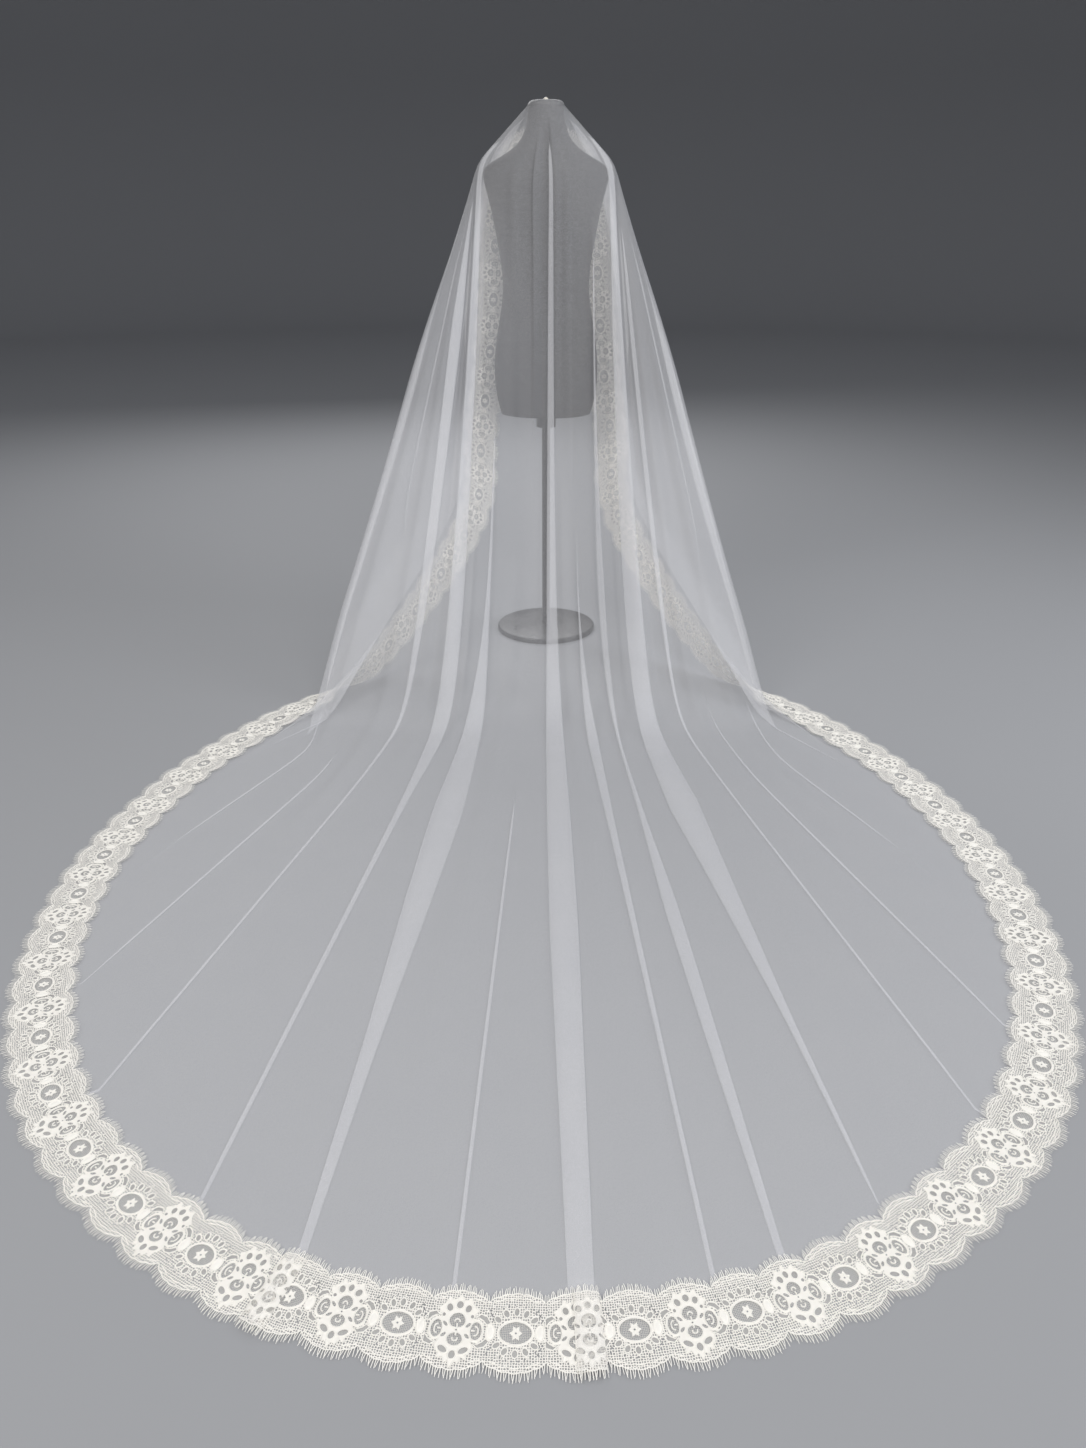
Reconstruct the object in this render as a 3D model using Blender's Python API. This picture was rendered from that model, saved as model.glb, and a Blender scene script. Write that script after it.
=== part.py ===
"""A single-tier bridal veil with a lace border all round, hung over a limbless dress form.

Metres, +Z up. The form's pole stands on the origin, +X is the wearer's right, the train runs out along -Y and
the wearer's front faces +Y.

The cloth is one sheet that is pinned to the middle of the neck cap. It is worked out as rays: each ray leaves
the neck cap, goes over the shoulders, falls, lands on the floor and runs out to a place on the veil's edge.
A ray is named by that place, measured along the edge from the middle of the hem, positive on the +X side.
"""

import math
from bisect import bisect_right

import bmesh
import bpy
from mathutils import Vector
from mathutils.geometry import delaunay_2d_cdt

# ---------------------------------------------------------------- driving sizes
SEAM = 0.0004  # clearance between pieces that touch
TULLE = 0.0012  # thickness of the tulle's wall
LACE = 0.0012  # thickness of the lace's wall
FLOOR_FILM = TULLE / 2  # height of the tulle's middle where it lies on the floor

CAP_TOP = 1.5405  # top of the neck cap
CAP_RADIUS = 0.050
CAP_HEIGHT = 0.012
CAP_ROUND = 0.005
PIN_HOLE = 0.0026  # radius of the hole that the pin goes through
PIN_HOLE_SIDES = 10
PIN_SHANK = 0.0012
PIN_HEAD = 0.0068
PIN_HEAD_HEIGHT = 0.0062

# The veil's edge on the +X side, from the middle of the hem round the train and up to the throat, with the way
# that the border faces there.
EDGE_ROWS = (
    # place            x       y       z      faces x  y    z
    ("hem middle", 0.000, -2.605, 0.000, 0.00, 0.00, 1.00),
    ("hem quarter", 0.400, -2.527, 0.000, 0.00, 0.00, 1.00),
    ("hem corner", 0.745, -2.265, 0.000, 0.00, 0.00, 1.00),
    ("side, low", 0.935, -1.910, 0.000, 0.00, 0.00, 1.00),
    ("side, widest", 0.995, -1.500, 0.000, 0.00, 0.00, 1.00),
    ("flank", 0.940, -1.110, 0.000, 0.00, 0.00, 1.00),
    ("flank, high", 0.810, -0.790, 0.000, 0.00, 0.00, 1.00),
    ("beside the skirt", 0.672, -0.590, 0.000, 0.12, 0.10, 0.98),
    ("leaves the floor", 0.530, -0.475, 0.000, 0.62, 0.66, 0.42),
    ("shin", 0.425, -0.350, 0.070, 0.80, 0.59, 0.07),
    ("calf", 0.306, -0.190, 0.195, 0.68, 0.72, -0.05),
    ("below the knee", 0.205, -0.080, 0.340, 0.58, 0.80, -0.10),
    ("knee", 0.163, 0.000, 0.463, 0.52, 0.84, -0.10),
    ("thigh", 0.160, 0.055, 0.570, 0.48, 0.87, -0.10),
    ("lower hip", 0.150, 0.095, 0.680, 0.47, 0.88, -0.05),
    ("hip", 0.134, 0.124, 0.800, 0.47, 0.88, 0.00),
    ("waist", 0.118, 0.140, 0.960, 0.47, 0.88, 0.00),
    ("ribs", 0.108, 0.148, 1.110, 0.47, 0.88, 0.00),
    ("bust", 0.100, 0.144, 1.225, 0.45, 0.88, 0.12),
    ("collar bone", 0.078, 0.124, 1.318, 0.32, 0.88, 0.35),
    ("throat side", 0.042, 0.102, 1.366, 0.06, 0.91, 0.40),
    ("throat", 0.000, 0.090, 1.385, 0.00, 0.97, 0.24),
)
LEFT_WIDER = 1.013  # the train lies a little wider on the -X side

# Where each ray leaves the neck cap's rim and crosses the shoulder line: edge place and angles from the middle
# of the back, in degrees.
SPREAD_ROWS = (
    # edge   rim  shoulder
    (0.00, 0.0, 0.0),
    (0.20, 17.0, 17.0),
    (0.36, 42.0, 42.0),
    (0.56, 69.0, 69.0),
    (0.95, 80.0, 80.0),
    (1.60, 85.0, 85.0),
    (2.60, 91.0, 91.0),
    (3.20, 95.0, 95.0),
    (3.70, 98.0, 98.0),
    (4.05, 103.0, 101.0),
    (4.30, 109.0, 104.0),
    (4.45, 119.0, 108.0),
    (4.53, 137.0, 116.0),
    (4.58, 157.0, 132.0),
)
SHOULDER_HALF = 0.1955
SHOULDER_BACK, SHOULDER_FRONT = 0.115, 0.092
SHOULDER_BACK_Z, SHOULDER_TIP_Z, THROAT_Z = 1.345, 1.386, 1.490
# How far out from the shoulders the cloth meets the floor: edge place and distance.
REACH_ROWS = ((0.0, 0.78), (1.4, 0.78), (1.8, 0.77), (2.1, 0.745), (2.75, 0.66))
SIDE_WAY = math.radians(-63.0)  # the furthest way round to the front, from +X, in which the cloth lands

# Knife pleats, three layers of tulle that hang and lie as ribbons: place on the edge, distance down the ray
# where the pleat opens, its widths at the waist, where it lands, half way down the train and near the hem.
PLEAT_ROWS = (
    # name             edge   opens  waist  lands  train  hem
    ("left shoulder", -0.575, 0.20, 0.030, 0.036, 0.012, 0.008),
    ("left back", -0.370, 0.30, 0.014, 0.056, 0.058, 0.018),
    ("middle back", 0.050, 0.12, 0.020, 0.048, 0.055, 0.034),
    ("right back", 0.245, 0.90, 0.010, 0.026, 0.012, 0.007),
    ("right inner", 0.345, 0.40, 0.026, 0.012, 0.028, 0.014),
    ("right shoulder", 0.550, 0.20, 0.056, 0.096, 0.040, 0.010),
)
WAIST_Z = 1.05
LAYER = TULLE + 0.0010  # height from one layer of a pleat to the next
PLEAT_SIDE = 0.0075  # from a pleat's fold out to where its top layer is down again
PLEAT_OVER = 0.0025  # how far an upright pleat's top goes on level
PLEAT_LINES = 7
PLEAT_LEAST = 0.004  # narrower than this, a pleat stays closed
MITRE_LEAST = 0.45  # limits how far a wall's corner reaches out at a sharp fold
CLOSED_SPACING = 0.015  # along the veil's edge, between a pleat's lines where it is closed

# Soft creases, low ridges in one layer: place on the edge, where they begin and end as shares of the ray,
# and height.
CREASE_ROWS = (
    # edge  start   end   height
    (-1.60, 0.50, 0.90, 0.006),
    (-1.25, 0.45, 0.92, 0.007),
    (-0.90, 0.42, 0.93, 0.008),
    (-0.13, 0.52, 0.93, 0.007),
    (0.80, 0.42, 0.90, 0.007),
    (1.12, 0.44, 0.92, 0.008),
    (1.50, 0.40, 0.90, 0.007),
)
CREASE_FOOT = 0.022  # along the veil's edge, from a crease's top line to its foot
# Between plain lines, along the veil's edge: from which place on, and how far apart.
SPACING_ROWS = ((0.0, 0.30), (2.1, 0.15), (2.5, 0.09), (2.9, 0.15), (3.2, 0.20), (4.25, 0.12), (4.4, 0.06))
RELAX_PLACES = (1.9, 2.5, 3.0, 3.6)  # where the sheet is relaxed: it starts, is full, fades, ends
RELAX_PASSES = 12
RELAX_FIRST, RELAX_KEPT = 5, 2  # the first row that moves, and how many rows at the edge don't

# Rows of the sheet's net: shares of the way down to the floor, shares of the way over the floor, and the last
# rows by their distance from the tulle's own edge.
FALL_SHARES = (0.12, 0.26, 0.40, 0.53, 0.66, 0.78, 0.89, 1.0)
FLOOR_SHARES = (0.50,)
HEM_STRIPS = (0.100, 0.062, 0.030, 0.0)
CAP_OVER = 0.0048  # how far the sheet stands off round the cap's side
RIM_LEVEL = -0.0016  # height over the cap's top where it turns down
CAP_RINGS = ((0.036, 0.0), (0.0465, 0.0008))  # radius, and height over the cap's top

LACE_CELLS = 60  # repeats of the border round the whole veil
TULLE_INSET = 0.088  # from the veil's edge to the tulle's own edge, under the lace
BORDER_DEPTH = 0.118  # from the veil's edge to where the cloth stops following the border
LACE_CLIMB = (0.030, 0.086)  # the lace climbs onto the tulle between these distances from the edge
FLAT = 0.9999  # how straight up the border faces where it lies on the floor
LACE_LIFT_FLOOR, LACE_LIFT_HANGING = 0.0022, 0.0070  # how far it then lies above the tulle's middle

# One repeat of the border, in shares of its length and metres in from the edge: a wide scallop that holds the
# rosette, then a narrow one that holds the eye.
LACE_OUTER = ((0.00, 0.006), (0.13, -0.007), (0.37, -0.007), (0.50, 0.006), (0.75, -0.006))
LACE_INNER = ((0.00, 0.100), (0.25, 0.115), (0.50, 0.100), (0.75, 0.111))
ROSETTE, EYE = (0.25, 0.053), (0.75, 0.053)
PETAL_REACH, PETAL_LENGTH, PETAL_WIDTH = 0.0150, 0.0085, 0.0060
EYE_HALF_LENGTH, EYE_HALF_WIDTH, EYE_SIDES = 0.0140, 0.0185, 6

# The dress form's torso and neck: height, half width, half depth and how far forward it sits.
TORSO_ROWS = (
    # z      width  depth  forward
    (0.700, 0.138, 0.100, -0.004),
    (0.760, 0.156, 0.114, -0.004),
    (0.850, 0.161, 0.119, -0.004),
    (0.950, 0.146, 0.106, -0.002),
    (1.050, 0.124, 0.091, 0.000),
    (1.140, 0.135, 0.098, 0.003),
    (1.220, 0.150, 0.111, 0.005),
    (1.285, 0.163, 0.097, -0.002),
    (1.335, 0.178, 0.081, -0.008),
    (1.363, 0.184, 0.069, -0.012),
    (1.380, 0.174, 0.060, -0.013),
    (1.400, 0.134, 0.055, -0.012),
    (1.425, 0.088, 0.054, -0.008),
    (1.455, 0.064, 0.051, -0.003),
    (1.490, 0.054, 0.049, 0.000),
    (CAP_TOP - CAP_HEIGHT - SEAM, 0.0495, 0.0475, 0.000),
)
TORSO_SIDES = 20
COLLAR_RADIUS, COLLAR_HEIGHT = 0.030, 0.040
POLE_RADIUS = 0.0125
BASE_RADIUS, BASE_HEIGHT, BASE_ROUND = 0.160, 0.016, 0.006


# ---------------------------------------------------------------- curves
def catmull_rom(points, i, share):
    """The point a share of the way from points[i] to points[i + 1] on a smooth curve through them all."""
    before = points[i - 1] if i else points[0] * 2 - points[1]
    after = points[i + 2] if i + 2 < len(points) else points[-1] * 2 - points[-2]
    a, b = points[i], points[i + 1]
    return 0.5 * (
        2 * a
        + (b - before) * share
        + (2 * before - 5 * a + 4 * b - after) * share**2
        + (3 * a - before - 3 * b + after) * share**3
    )


class Line:
    """A polyline that is read by the distance along it."""

    def __init__(self, points):
        self.points = [points[0]]
        self.marks = [0.0]
        for p in points[1:]:
            step = (p - self.points[-1]).length
            if step > 1e-9:
                self.points.append(p)
                self.marks.append(self.marks[-1] + step)
        self.length = self.marks[-1]

    def at(self, distance):
        distance = min(max(distance, 0.0), self.length)
        i = min(max(bisect_right(self.marks, distance) - 1, 0), len(self.marks) - 2)
        share = (distance - self.marks[i]) / (self.marks[i + 1] - self.marks[i])
        return self.points[i].lerp(self.points[i + 1], share)


def smooth_table(rows, x):
    """Reads a two-column table at x, on a smooth curve through its rows."""
    i = min(max(bisect_right([row[0] for row in rows], x) - 1, 0), len(rows) - 2)
    share = (x - rows[i][0]) / (rows[i + 1][0] - rows[i][0])
    return catmull_rom([row[1] for row in rows], i, share)


def straight_table(rows, x):
    """Reads a two-column table at x, with straight lines between its rows."""
    if x <= rows[0][0]:
        return rows[0][1]
    for (x0, y0), (x1, y1) in zip(rows, rows[1:]):
        if x <= x1:
            return y0 + (y1 - y0) * (x - x0) / (x1 - x0)
    return rows[-1][1]


def ease(x, low, high):
    """Rises smoothly from 0 at low to 1 at high."""
    t = min(1.0, max(0.0, (x - low) / (high - low)))
    return t * t * (3 - 2 * t)


def half_edge():
    """The veil's edge on the +X side, from the middle of the hem to the throat, and the way it faces."""
    knots = [(Vector(row[1:4]), Vector(row[4:])) for row in EDGE_ROWS]

    def mirrored(knot):
        return tuple(Vector((-v.x, v.y, v.z)) for v in knot)

    knots = [mirrored(knots[1])] + knots + [mirrored(knots[-2])]
    points, ways = [], []
    for i in range(1, len(knots) - 1):
        for k in range(12 if i < len(knots) - 2 else 1):
            p = catmull_rom([knot[0] for knot in knots], i, k / 12)
            p.z = max(p.z, 0.0)
            points.append(p)
            ways.append(knots[i][1].lerp(knots[i + 1][1], k / 12))
    return Line(points), ways


EDGE, FACING = half_edge()
HALF = EDGE.length
RIM_SPREAD = [(edge, rim) for edge, rim, _ in SPREAD_ROWS] + [(HALF, 180.0)]
SHOULDER_SPREAD = [(edge, shoulder) for edge, _, shoulder in SPREAD_ROWS] + [(HALF, 180.0)]


def wrap(place):
    """A place on the edge, brought to between the two ends of its half lengths."""
    return (place + HALF) % (2 * HALF) - HALF


def edge_point(place):
    """The middle of the cloth at a place on the veil's edge."""
    place = wrap(place)
    p = EDGE.at(abs(place))
    low = 1 - ease(p.z, 0.0, 0.4)
    widen = 1 + (LEFT_WIDER - 1) * low if place < 0 else 1
    return Vector((math.copysign(p.x, place) * widen, p.y, p.z + FLOOR_FILM))


class Border:
    """The veil's edge at a place: its point, the way into the cloth square to it, and the way it faces."""

    def __init__(self, place):
        place = wrap(place)
        self.point = edge_point(place)
        along = (edge_point(place + 0.01) - edge_point(place - 0.01)).normalized()
        i = min(bisect_right(EDGE.marks, abs(place)), len(FACING) - 1)
        share = (abs(place) - EDGE.marks[i - 1]) / (EDGE.marks[i] - EDGE.marks[i - 1])
        facing = FACING[i - 1].lerp(FACING[i], share)
        facing.x = math.copysign(1.0, place) * facing.x
        facing = (facing - along * facing.dot(along)).normalized()
        self.facing, self.inward = facing, facing.cross(along)

    def at(self, inset):
        return self.point + self.inward * inset

    def blend(self, other, share):
        """The border between this place and another, on the straight stretch between them."""
        between = Border.__new__(Border)
        between.point = self.point.lerp(other.point, share)
        between.inward = self.inward.lerp(other.inward, share)
        between.facing = self.facing.lerp(other.facing, share).normalized()
        return between


def spread_angle(spread, place):
    return math.radians(min(180.0, max(0.0, smooth_table(spread, abs(place)))))


def around(angle, side, radius, height):
    """A point on a ring round the neck cap."""
    return Vector((side * radius * math.sin(angle), -radius * math.cos(angle), CAP_TOP + height))


def shoulder_point(angle, side):
    """Where a ray crosses the shoulder line, a ring that is highest at the throat."""
    if angle <= math.pi / 2:
        depth = SHOULDER_BACK
        z = SHOULDER_BACK_Z + (SHOULDER_TIP_Z - SHOULDER_BACK_Z) * math.sin(angle) ** 2
    else:
        depth = SHOULDER_FRONT
        z = SHOULDER_TIP_Z + (THROAT_Z - SHOULDER_TIP_Z) * (1 - math.sin(angle)) ** 1.5
    return Vector((side * SHOULDER_HALF * math.sin(angle), -depth * math.cos(angle), z))


def bezier(a, b, c, d, share):
    rest = 1 - share
    return a * rest**3 + b * (3 * rest**2 * share) + c * (3 * rest * share**2) + d * share**3


class Ray:
    """The path of one ray from the cap's rim to the veil's edge, with the marks of its rows."""

    def __init__(self, place):
        place = wrap(place)
        side = math.copysign(1.0, place)
        angle = spread_angle(SHOULDER_SPREAD, place)
        rim_angle = spread_angle(RIM_SPREAD, place)
        border = Border(place)
        base = border.at(BORDER_DEPTH)
        rim = around(rim_angle, side, CAP_RADIUS + CAP_OVER, RIM_LEVEL)
        # near the throat the border comes up over the shoulder line, and the ray goes straight to it
        straight = around(angle, side, CAP_RADIUS + CAP_OVER, RIM_LEVEL).lerp(base, 0.5)
        shoulder = shoulder_point(angle, side).lerp(straight, ease(base.z, 0.60, 1.45))
        flat = Vector((base.x - shoulder.x, base.y - shoulder.y, 0.0))
        height = base.z - FLOOR_FILM
        short = max(0.0, flat.length - straight_table(REACH_ROWS, abs(place)))
        reach = flat.length - short * (1 - ease(height, 0.0, 0.03))
        way = math.atan2(flat.y, side * flat.x)
        way = way + (min(way, SIDE_WAY) - way) * (1 - ease(height, 0.0, 0.05))
        landing = shoulder + Vector((side * math.cos(way), math.sin(way), 0.0)) * reach
        landing.z = base.z
        drop = shoulder.z - landing.z
        # the middle of the back hangs steeply and then sweeps out; the sides fall straight from the shoulder
        hang = math.cos(angle) ** 2 if angle < math.pi / 2 else 0.0
        settle = max(0.0, 1 - height / 0.30)
        out = Vector((landing.x - shoulder.x, landing.y - shoulder.y, 0.0))
        first = out * (0.33 - 0.305 * hang)
        first.z = -drop * (0.33 + 0.21 * hang)
        second = out * (0.667 + 0.12 * settle * (1 - hang) - 0.49 * hang)
        second.z = -drop * (0.667 + settle * (0.245 + 0.088 * hang))
        fall = [bezier(shoulder, shoulder + first, shoulder + second, landing, k / 32) for k in range(33)]
        self.rings = [around(rim_angle, side, radius, height + SEAM + TULLE / 2) for radius, height in CAP_RINGS]
        self.line = Line([rim] + fall + [base, border.at(TULLE_INSET)])
        self.landing = (shoulder - rim).length + Line(fall).length
        self.end = self.line.length
        strip = BORDER_DEPTH - TULLE_INSET
        start = min((shoulder - rim).length, 0.35 * (self.end - strip))
        squeeze = min(1.0, (self.end - strip - start) / 0.40)
        strips = [strip + (s - strip) * squeeze for s in HEM_STRIPS[:-2]] + [strip, 0.0]
        last = self.end - strips[0]
        landed = min(self.landing, max(start + 0.88 * (last - start), last - 0.02))
        self.marks = [0.0, start / 2, start]
        self.marks += [start + (landed - start) * share for share in FALL_SHARES]
        self.marks += [landed + (last - landed) * share for share in FLOOR_SHARES]
        self.marks += [self.end - strip for strip in strips]

    def rows(self):
        """The ray's points, from the innermost ring on the cap to the tulle's own edge."""
        return self.rings + [self.line.at(mark) for mark in self.marks]

    def row_marks(self):
        return [radius - CAP_RADIUS for radius, _ in CAP_RINGS] + self.marks

    def mark_at_height(self, z):
        for p, mark in zip(self.line.points, self.line.marks):
            if p.z < z:
                return mark
        return self.line.length


ROWS = len(CAP_RINGS) + 3 + len(FALL_SHARES) + len(FLOOR_SHARES) + len(HEM_STRIPS)


# ---------------------------------------------------------------- the tulle
class Frames:
    """The points of a ray's rows, with the directions across the ray and out of the cloth at each."""

    def __init__(self, place):
        step = 0.02
        self.ray = Ray(place)
        before, after = Ray(place - step).rows(), Ray(place + step).rows()
        self.points = self.ray.rows()
        self.along, self.across, self.normals = [], [], []
        for i, p in enumerate(self.points):
            lower, upper = self.points[max(i - 1, 0)], self.points[min(i + 1, ROWS - 1)]
            along = (upper - lower).normalized()
            across = after[i] - before[i]
            across = (across - along * across.dot(along)).normalized()
            self.along.append(along)
            self.across.append(across)
            self.normals.append(along.cross(across).normalized())


def offsets(section):
    """For each point of a cross-section of (across, out) pairs, the way to its wall's outer face."""
    ends = [(section[0][0] - 1, section[0][1])] + section + [(section[-1][0] + 1, section[-1][1])]
    result = []
    for (x0, y0), (x1, y1), (x2, y2) in zip(ends, ends[1:], ends[2:]):
        a = Vector((-(y1 - y0), x1 - x0)).normalized()
        b = Vector((-(y2 - y1), x2 - x1)).normalized()
        result.append((a + b) / (1 + a.dot(b)))
    return result


def pleat_section(width, upright):
    """The seven points of a pleat across the ray: open with three layers, or upright where it begins."""
    side = width / 2
    if upright:
        return [
            (-PLEAT_SIDE, 0.0),
            (0.0, 0.0),
            (0.0, LAYER * 0.8),
            (0.0, LAYER * 1.2),
            (0.0, LAYER * 2),
            (PLEAT_OVER, LAYER * 2),
            (PLEAT_SIDE, 0.0),
        ]
    return [
        (-side, 0.0),
        (side, 0.0),
        (side, LAYER),
        (-side, LAYER),
        (-side, LAYER * 2),
        (side, LAYER * 2),
        (side + PLEAT_SIDE, 0.0),
    ]


class Column:
    """One line of the sheet: its points, and at each the way to the wall's outer face, or None until known."""

    def __init__(self, points, ways, backwards=False):
        self.points, self.ways, self.backwards = points, ways, backwards
        self.give = 0.0  # how much it gives way to its neighbours when the sheet is relaxed


def add_plain(columns, group, before, after):
    column = Column(Ray(group.place).rows(), [None] * ROWS)
    start, full, fade, end = RELAX_PLACES
    column.give = 0.5 * ease(abs(group.place), start, full) * (1 - ease(abs(group.place), fade, end))
    columns.append(column)


def add_crease(columns, group, before, after):
    """Three lines: a ridge and its two feet."""
    start, end, height = group.sizes
    for side in (-1, 0, 1):
        frames = Frames(group.place + side * CREASE_FOOT)
        first, last = frames.ray.marks[2], frames.ray.marks[-len(HEM_STRIPS)]
        points = []
        for p, normal, mark in zip(frames.points, frames.normals, frames.ray.row_marks()):
            share = (mark - first) / (last - first)
            lift = height * ease(share, start, start + 0.12) * (1 - ease(share, end - 0.1, end))
            points.append(p if side else p + normal * lift)
        columns.append(Column(points, [None] * ROWS))


def room_beside(centre, level, group, neighbour):
    """For each row, how far a pleat may reach towards the next group of lines."""
    if neighbour.add_lines is add_pleat:
        nearest, share = neighbour.place, 0.5
    else:
        towards = math.copysign(1.0, wrap(neighbour.place - group.place))
        nearest, share = neighbour.place - towards * neighbour.half, 0.85
    return [abs((p - q).dot(level)) * share for p, q in zip(centre.points, Ray(nearest).rows())]


def add_pleat(columns, group, before, after):
    """Seven lines: a three-layer fold that opens out of the flat sheet and closes again near the hem."""
    opens, waist, lands, train, hem = group.sizes
    centre = Frames(group.place)
    ray = centre.ray
    landing = min(ray.landing, ray.marks[-len(HEM_STRIPS)] - 0.2)
    stations = (
        (opens, waist * 0.6),
        (ray.mark_at_height(WAIST_Z), waist),
        (landing, lands),
        ((landing + ray.end) / 2, train),
        (ray.end, hem),
    )
    marks = ray.row_marks()
    level = sum(centre.across[4:-2], Vector()).normalized()
    sides = [room_beside(centre, level, group, neighbour) for neighbour in (before, after)]
    rooms = [min(pair) - PLEAT_SIDE for pair in zip(*sides)]
    widths = [min(straight_table(stations, mark), 2 * room) for mark, room in zip(marks, rooms)]
    last_open = ROWS - len(HEM_STRIPS)
    first_open = last_open
    while marks[first_open - 1] > opens and widths[first_open - 1] > PLEAT_LEAST and rooms[first_open - 2] > 0:
        first_open -= 1
    middle = (PLEAT_LINES - 1) / 2
    own = [Frames(group.place + (k - middle) * CLOSED_SPACING) for k in range(PLEAT_LINES)]
    mirrored = group.place > 0
    lines = [Column([], [], backwards=(k == (3 if mirrored else 2))) for k in range(PLEAT_LINES)]
    for i in range(ROWS):
        if i < first_open - 1 or i > last_open + 1:
            for line, frames in zip(lines, own):
                line.points.append(frames.points[i])
                line.ways.append(None)
            continue
        upright = i in (first_open - 1, last_open + 1)
        section = pleat_section(widths[i], upright)
        if mirrored:
            section = [(-x, y) for x, y in reversed(section)]
        p, along = centre.points[i], centre.along[i]
        across = centre.across[i]
        if not upright:
            across = centre.across[i - 1] + 2 * across + centre.across[i + 1]
            across = (across - along * across.dot(along)).normalized()
        normal = along.cross(across)
        for line, (x, y), way in zip(lines, section, offsets(section)):
            line.points.append(p + across * x + normal * y)
            line.ways.append(across * way.x + normal * way.y)
    columns.extend(lines)


class Group:
    """Lines of the sheet that belong together: where they are, half of what they take up, what adds them."""

    def __init__(self, place, half, add_lines, sizes=()):
        self.place, self.half, self.add_lines, self.sizes = place, half, add_lines, sizes


def plain_spacing(place):
    return [spacing for start, spacing in SPACING_ROWS if abs(wrap(place)) >= start][-1]


def sheet_groups():
    """Every group of lines in the sheet, in order round the veil."""
    pleat_half = CLOSED_SPACING * (PLEAT_LINES - 1) / 2
    groups = [Group(place, pleat_half, add_pleat, sizes) for _, place, *sizes in PLEAT_ROWS]
    groups += [Group(place, CREASE_FOOT, add_crease, sizes) for place, *sizes in CREASE_ROWS]
    groups.append(Group(-HALF, 0.0, add_plain))
    groups.sort(key=lambda group: group.place)
    plain = []
    for before, after in zip(groups, groups[1:] + groups[:1]):
        low, high = before.place + before.half, after.place - after.half
        if after is groups[0]:
            high += 2 * HALF
        spots = [low]
        while spots[-1] < high:
            spots.append(spots[-1] + plain_spacing(spots[-1]))
        if len(spots) > 2:
            stretch = (high - low) / (spots[-1] - low)
            plain += [Group(wrap(low + (spot - low) * stretch), 0.0, add_plain) for spot in spots[1:-1]]
    return sorted(groups + plain, key=lambda group: group.place)


def tulle_columns():
    columns = []
    groups = sheet_groups()
    for before, group, after in zip(groups[-1:] + groups, groups, groups[1:] + groups[:1]):
        group.add_lines(columns, group, before, after)
    relax(columns)
    find_ways(columns)
    return columns


def relax(columns):
    """Evens out the sheet where the border turns from lying to hanging: points move towards their neighbours."""
    for _ in range(RELAX_PASSES):
        moved = []
        for before, column, after in zip(columns[-1:] + columns, columns, columns[1:] + columns[:1]):
            points = list(column.points)
            for i in range(RELAX_FIRST, ROWS - RELAX_KEPT) if column.give else ():
                neighbours = before.points[i] + after.points[i] + column.points[i - 1] + column.points[i + 1]
                points[i] = points[i].lerp(neighbours / 4, column.give)
                points[i].z = max(points[i].z, FLOOR_FILM)
            moved.append(points)
        for column, points in zip(columns, moved):
            column.points = points


def find_ways(columns):
    """Fills in the outward ways that are still open: square to the faces that meet there, as far as that goes."""
    found = []
    for before, column, after in zip(columns[-1:] + columns, columns, columns[1:] + columns[:1]):
        ways = list(column.ways)
        for i, p in enumerate(column.points):
            if ways[i] is None:
                alongs = [column.points[k + 1] - column.points[k] for k in (i - 1, i) if 0 <= k < ROWS - 1]
                acrosses = (p - before.points[i], after.points[i] - p)
                normals = [along.cross(across).normalized() for along in alongs for across in acrosses]
                way = sum(normals, Vector()).normalized()
                ways[i] = way / max(MITRE_LEAST, min(way.dot(normal) for normal in normals))
        found.append(ways)
    for column, ways in zip(columns, found):
        column.ways = ways


def line_places():
    """Where the tulle's lines end, the closed pleats' among them, in order round the veil."""
    counts = {add_pleat: PLEAT_LINES, add_crease: 3, add_plain: 1}
    places = []
    for group in sheet_groups():
        count = counts[group.add_lines]
        for k in range(count):
            places.append(group.place + group.half * (2 * k / (count - 1) - 1 if count > 1 else 0))
    return places


def wall_mesh(columns, thickness):
    """The closed wall round a ring of columns."""
    bm = bmesh.new()

    def skin(reach):
        return [[bm.verts.new(p + way * reach) for p, way in zip(c.points, c.ways)] for c in columns]

    outer, inner = skin(thickness / 2), skin(-thickness / 2)
    count = len(columns)
    for i in range(count):
        a, b = outer[i], outer[(i + 1) % count]
        c, d = inner[i], inner[(i + 1) % count]
        for j in range(ROWS - 1):
            quad = (a[j], a[j + 1], b[j + 1], b[j])
            under = (c[j], c[j + 1], d[j + 1], d[j])
            # a pleat's middle layer runs backwards, so it is split the other way to lie flat on its neighbours
            first = 1 if columns[i].backwards else 0
            for k in (first, first + 2):
                corners = [(k + step) % 4 for step in range(3)]
                bm.faces.new([quad[corner] for corner in corners])
                bm.faces.new([under[corner] for corner in reversed(corners)])
        bm.faces.new((a[-1], c[-1], d[-1]))
        bm.faces.new((a[-1], d[-1], b[-1]))
    close_round_pin(bm, [column[0] for column in outer], [column[0] for column in inner])
    return bm


def close_round_pin(bm, outer_ring, inner_ring):
    """Joins the sheet's innermost rings to the round hole for the pin."""
    holes = []
    for ring in (outer_ring, inner_ring):
        z = ring[0].co.z
        hole = []
        for k in range(PIN_HOLE_SIDES):
            angle = 2 * math.pi * k / PIN_HOLE_SIDES - math.pi
            hole.append(bm.verts.new((PIN_HOLE * math.sin(angle), -PIN_HOLE * math.cos(angle), z)))
        holes.append(hole)
    for ring, hole, up in ((outer_ring, holes[0], True), (inner_ring, holes[1], False)):
        bridge_rings(bm, ring, hole, up)
    for k in range(PIN_HOLE_SIDES):
        a, b = holes[0][k], holes[0][(k + 1) % PIN_HOLE_SIDES]
        c, d = holes[1][k], holes[1][(k + 1) % PIN_HOLE_SIDES]
        bm.faces.new((a, b, d))
        bm.faces.new((a, d, c))


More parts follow.
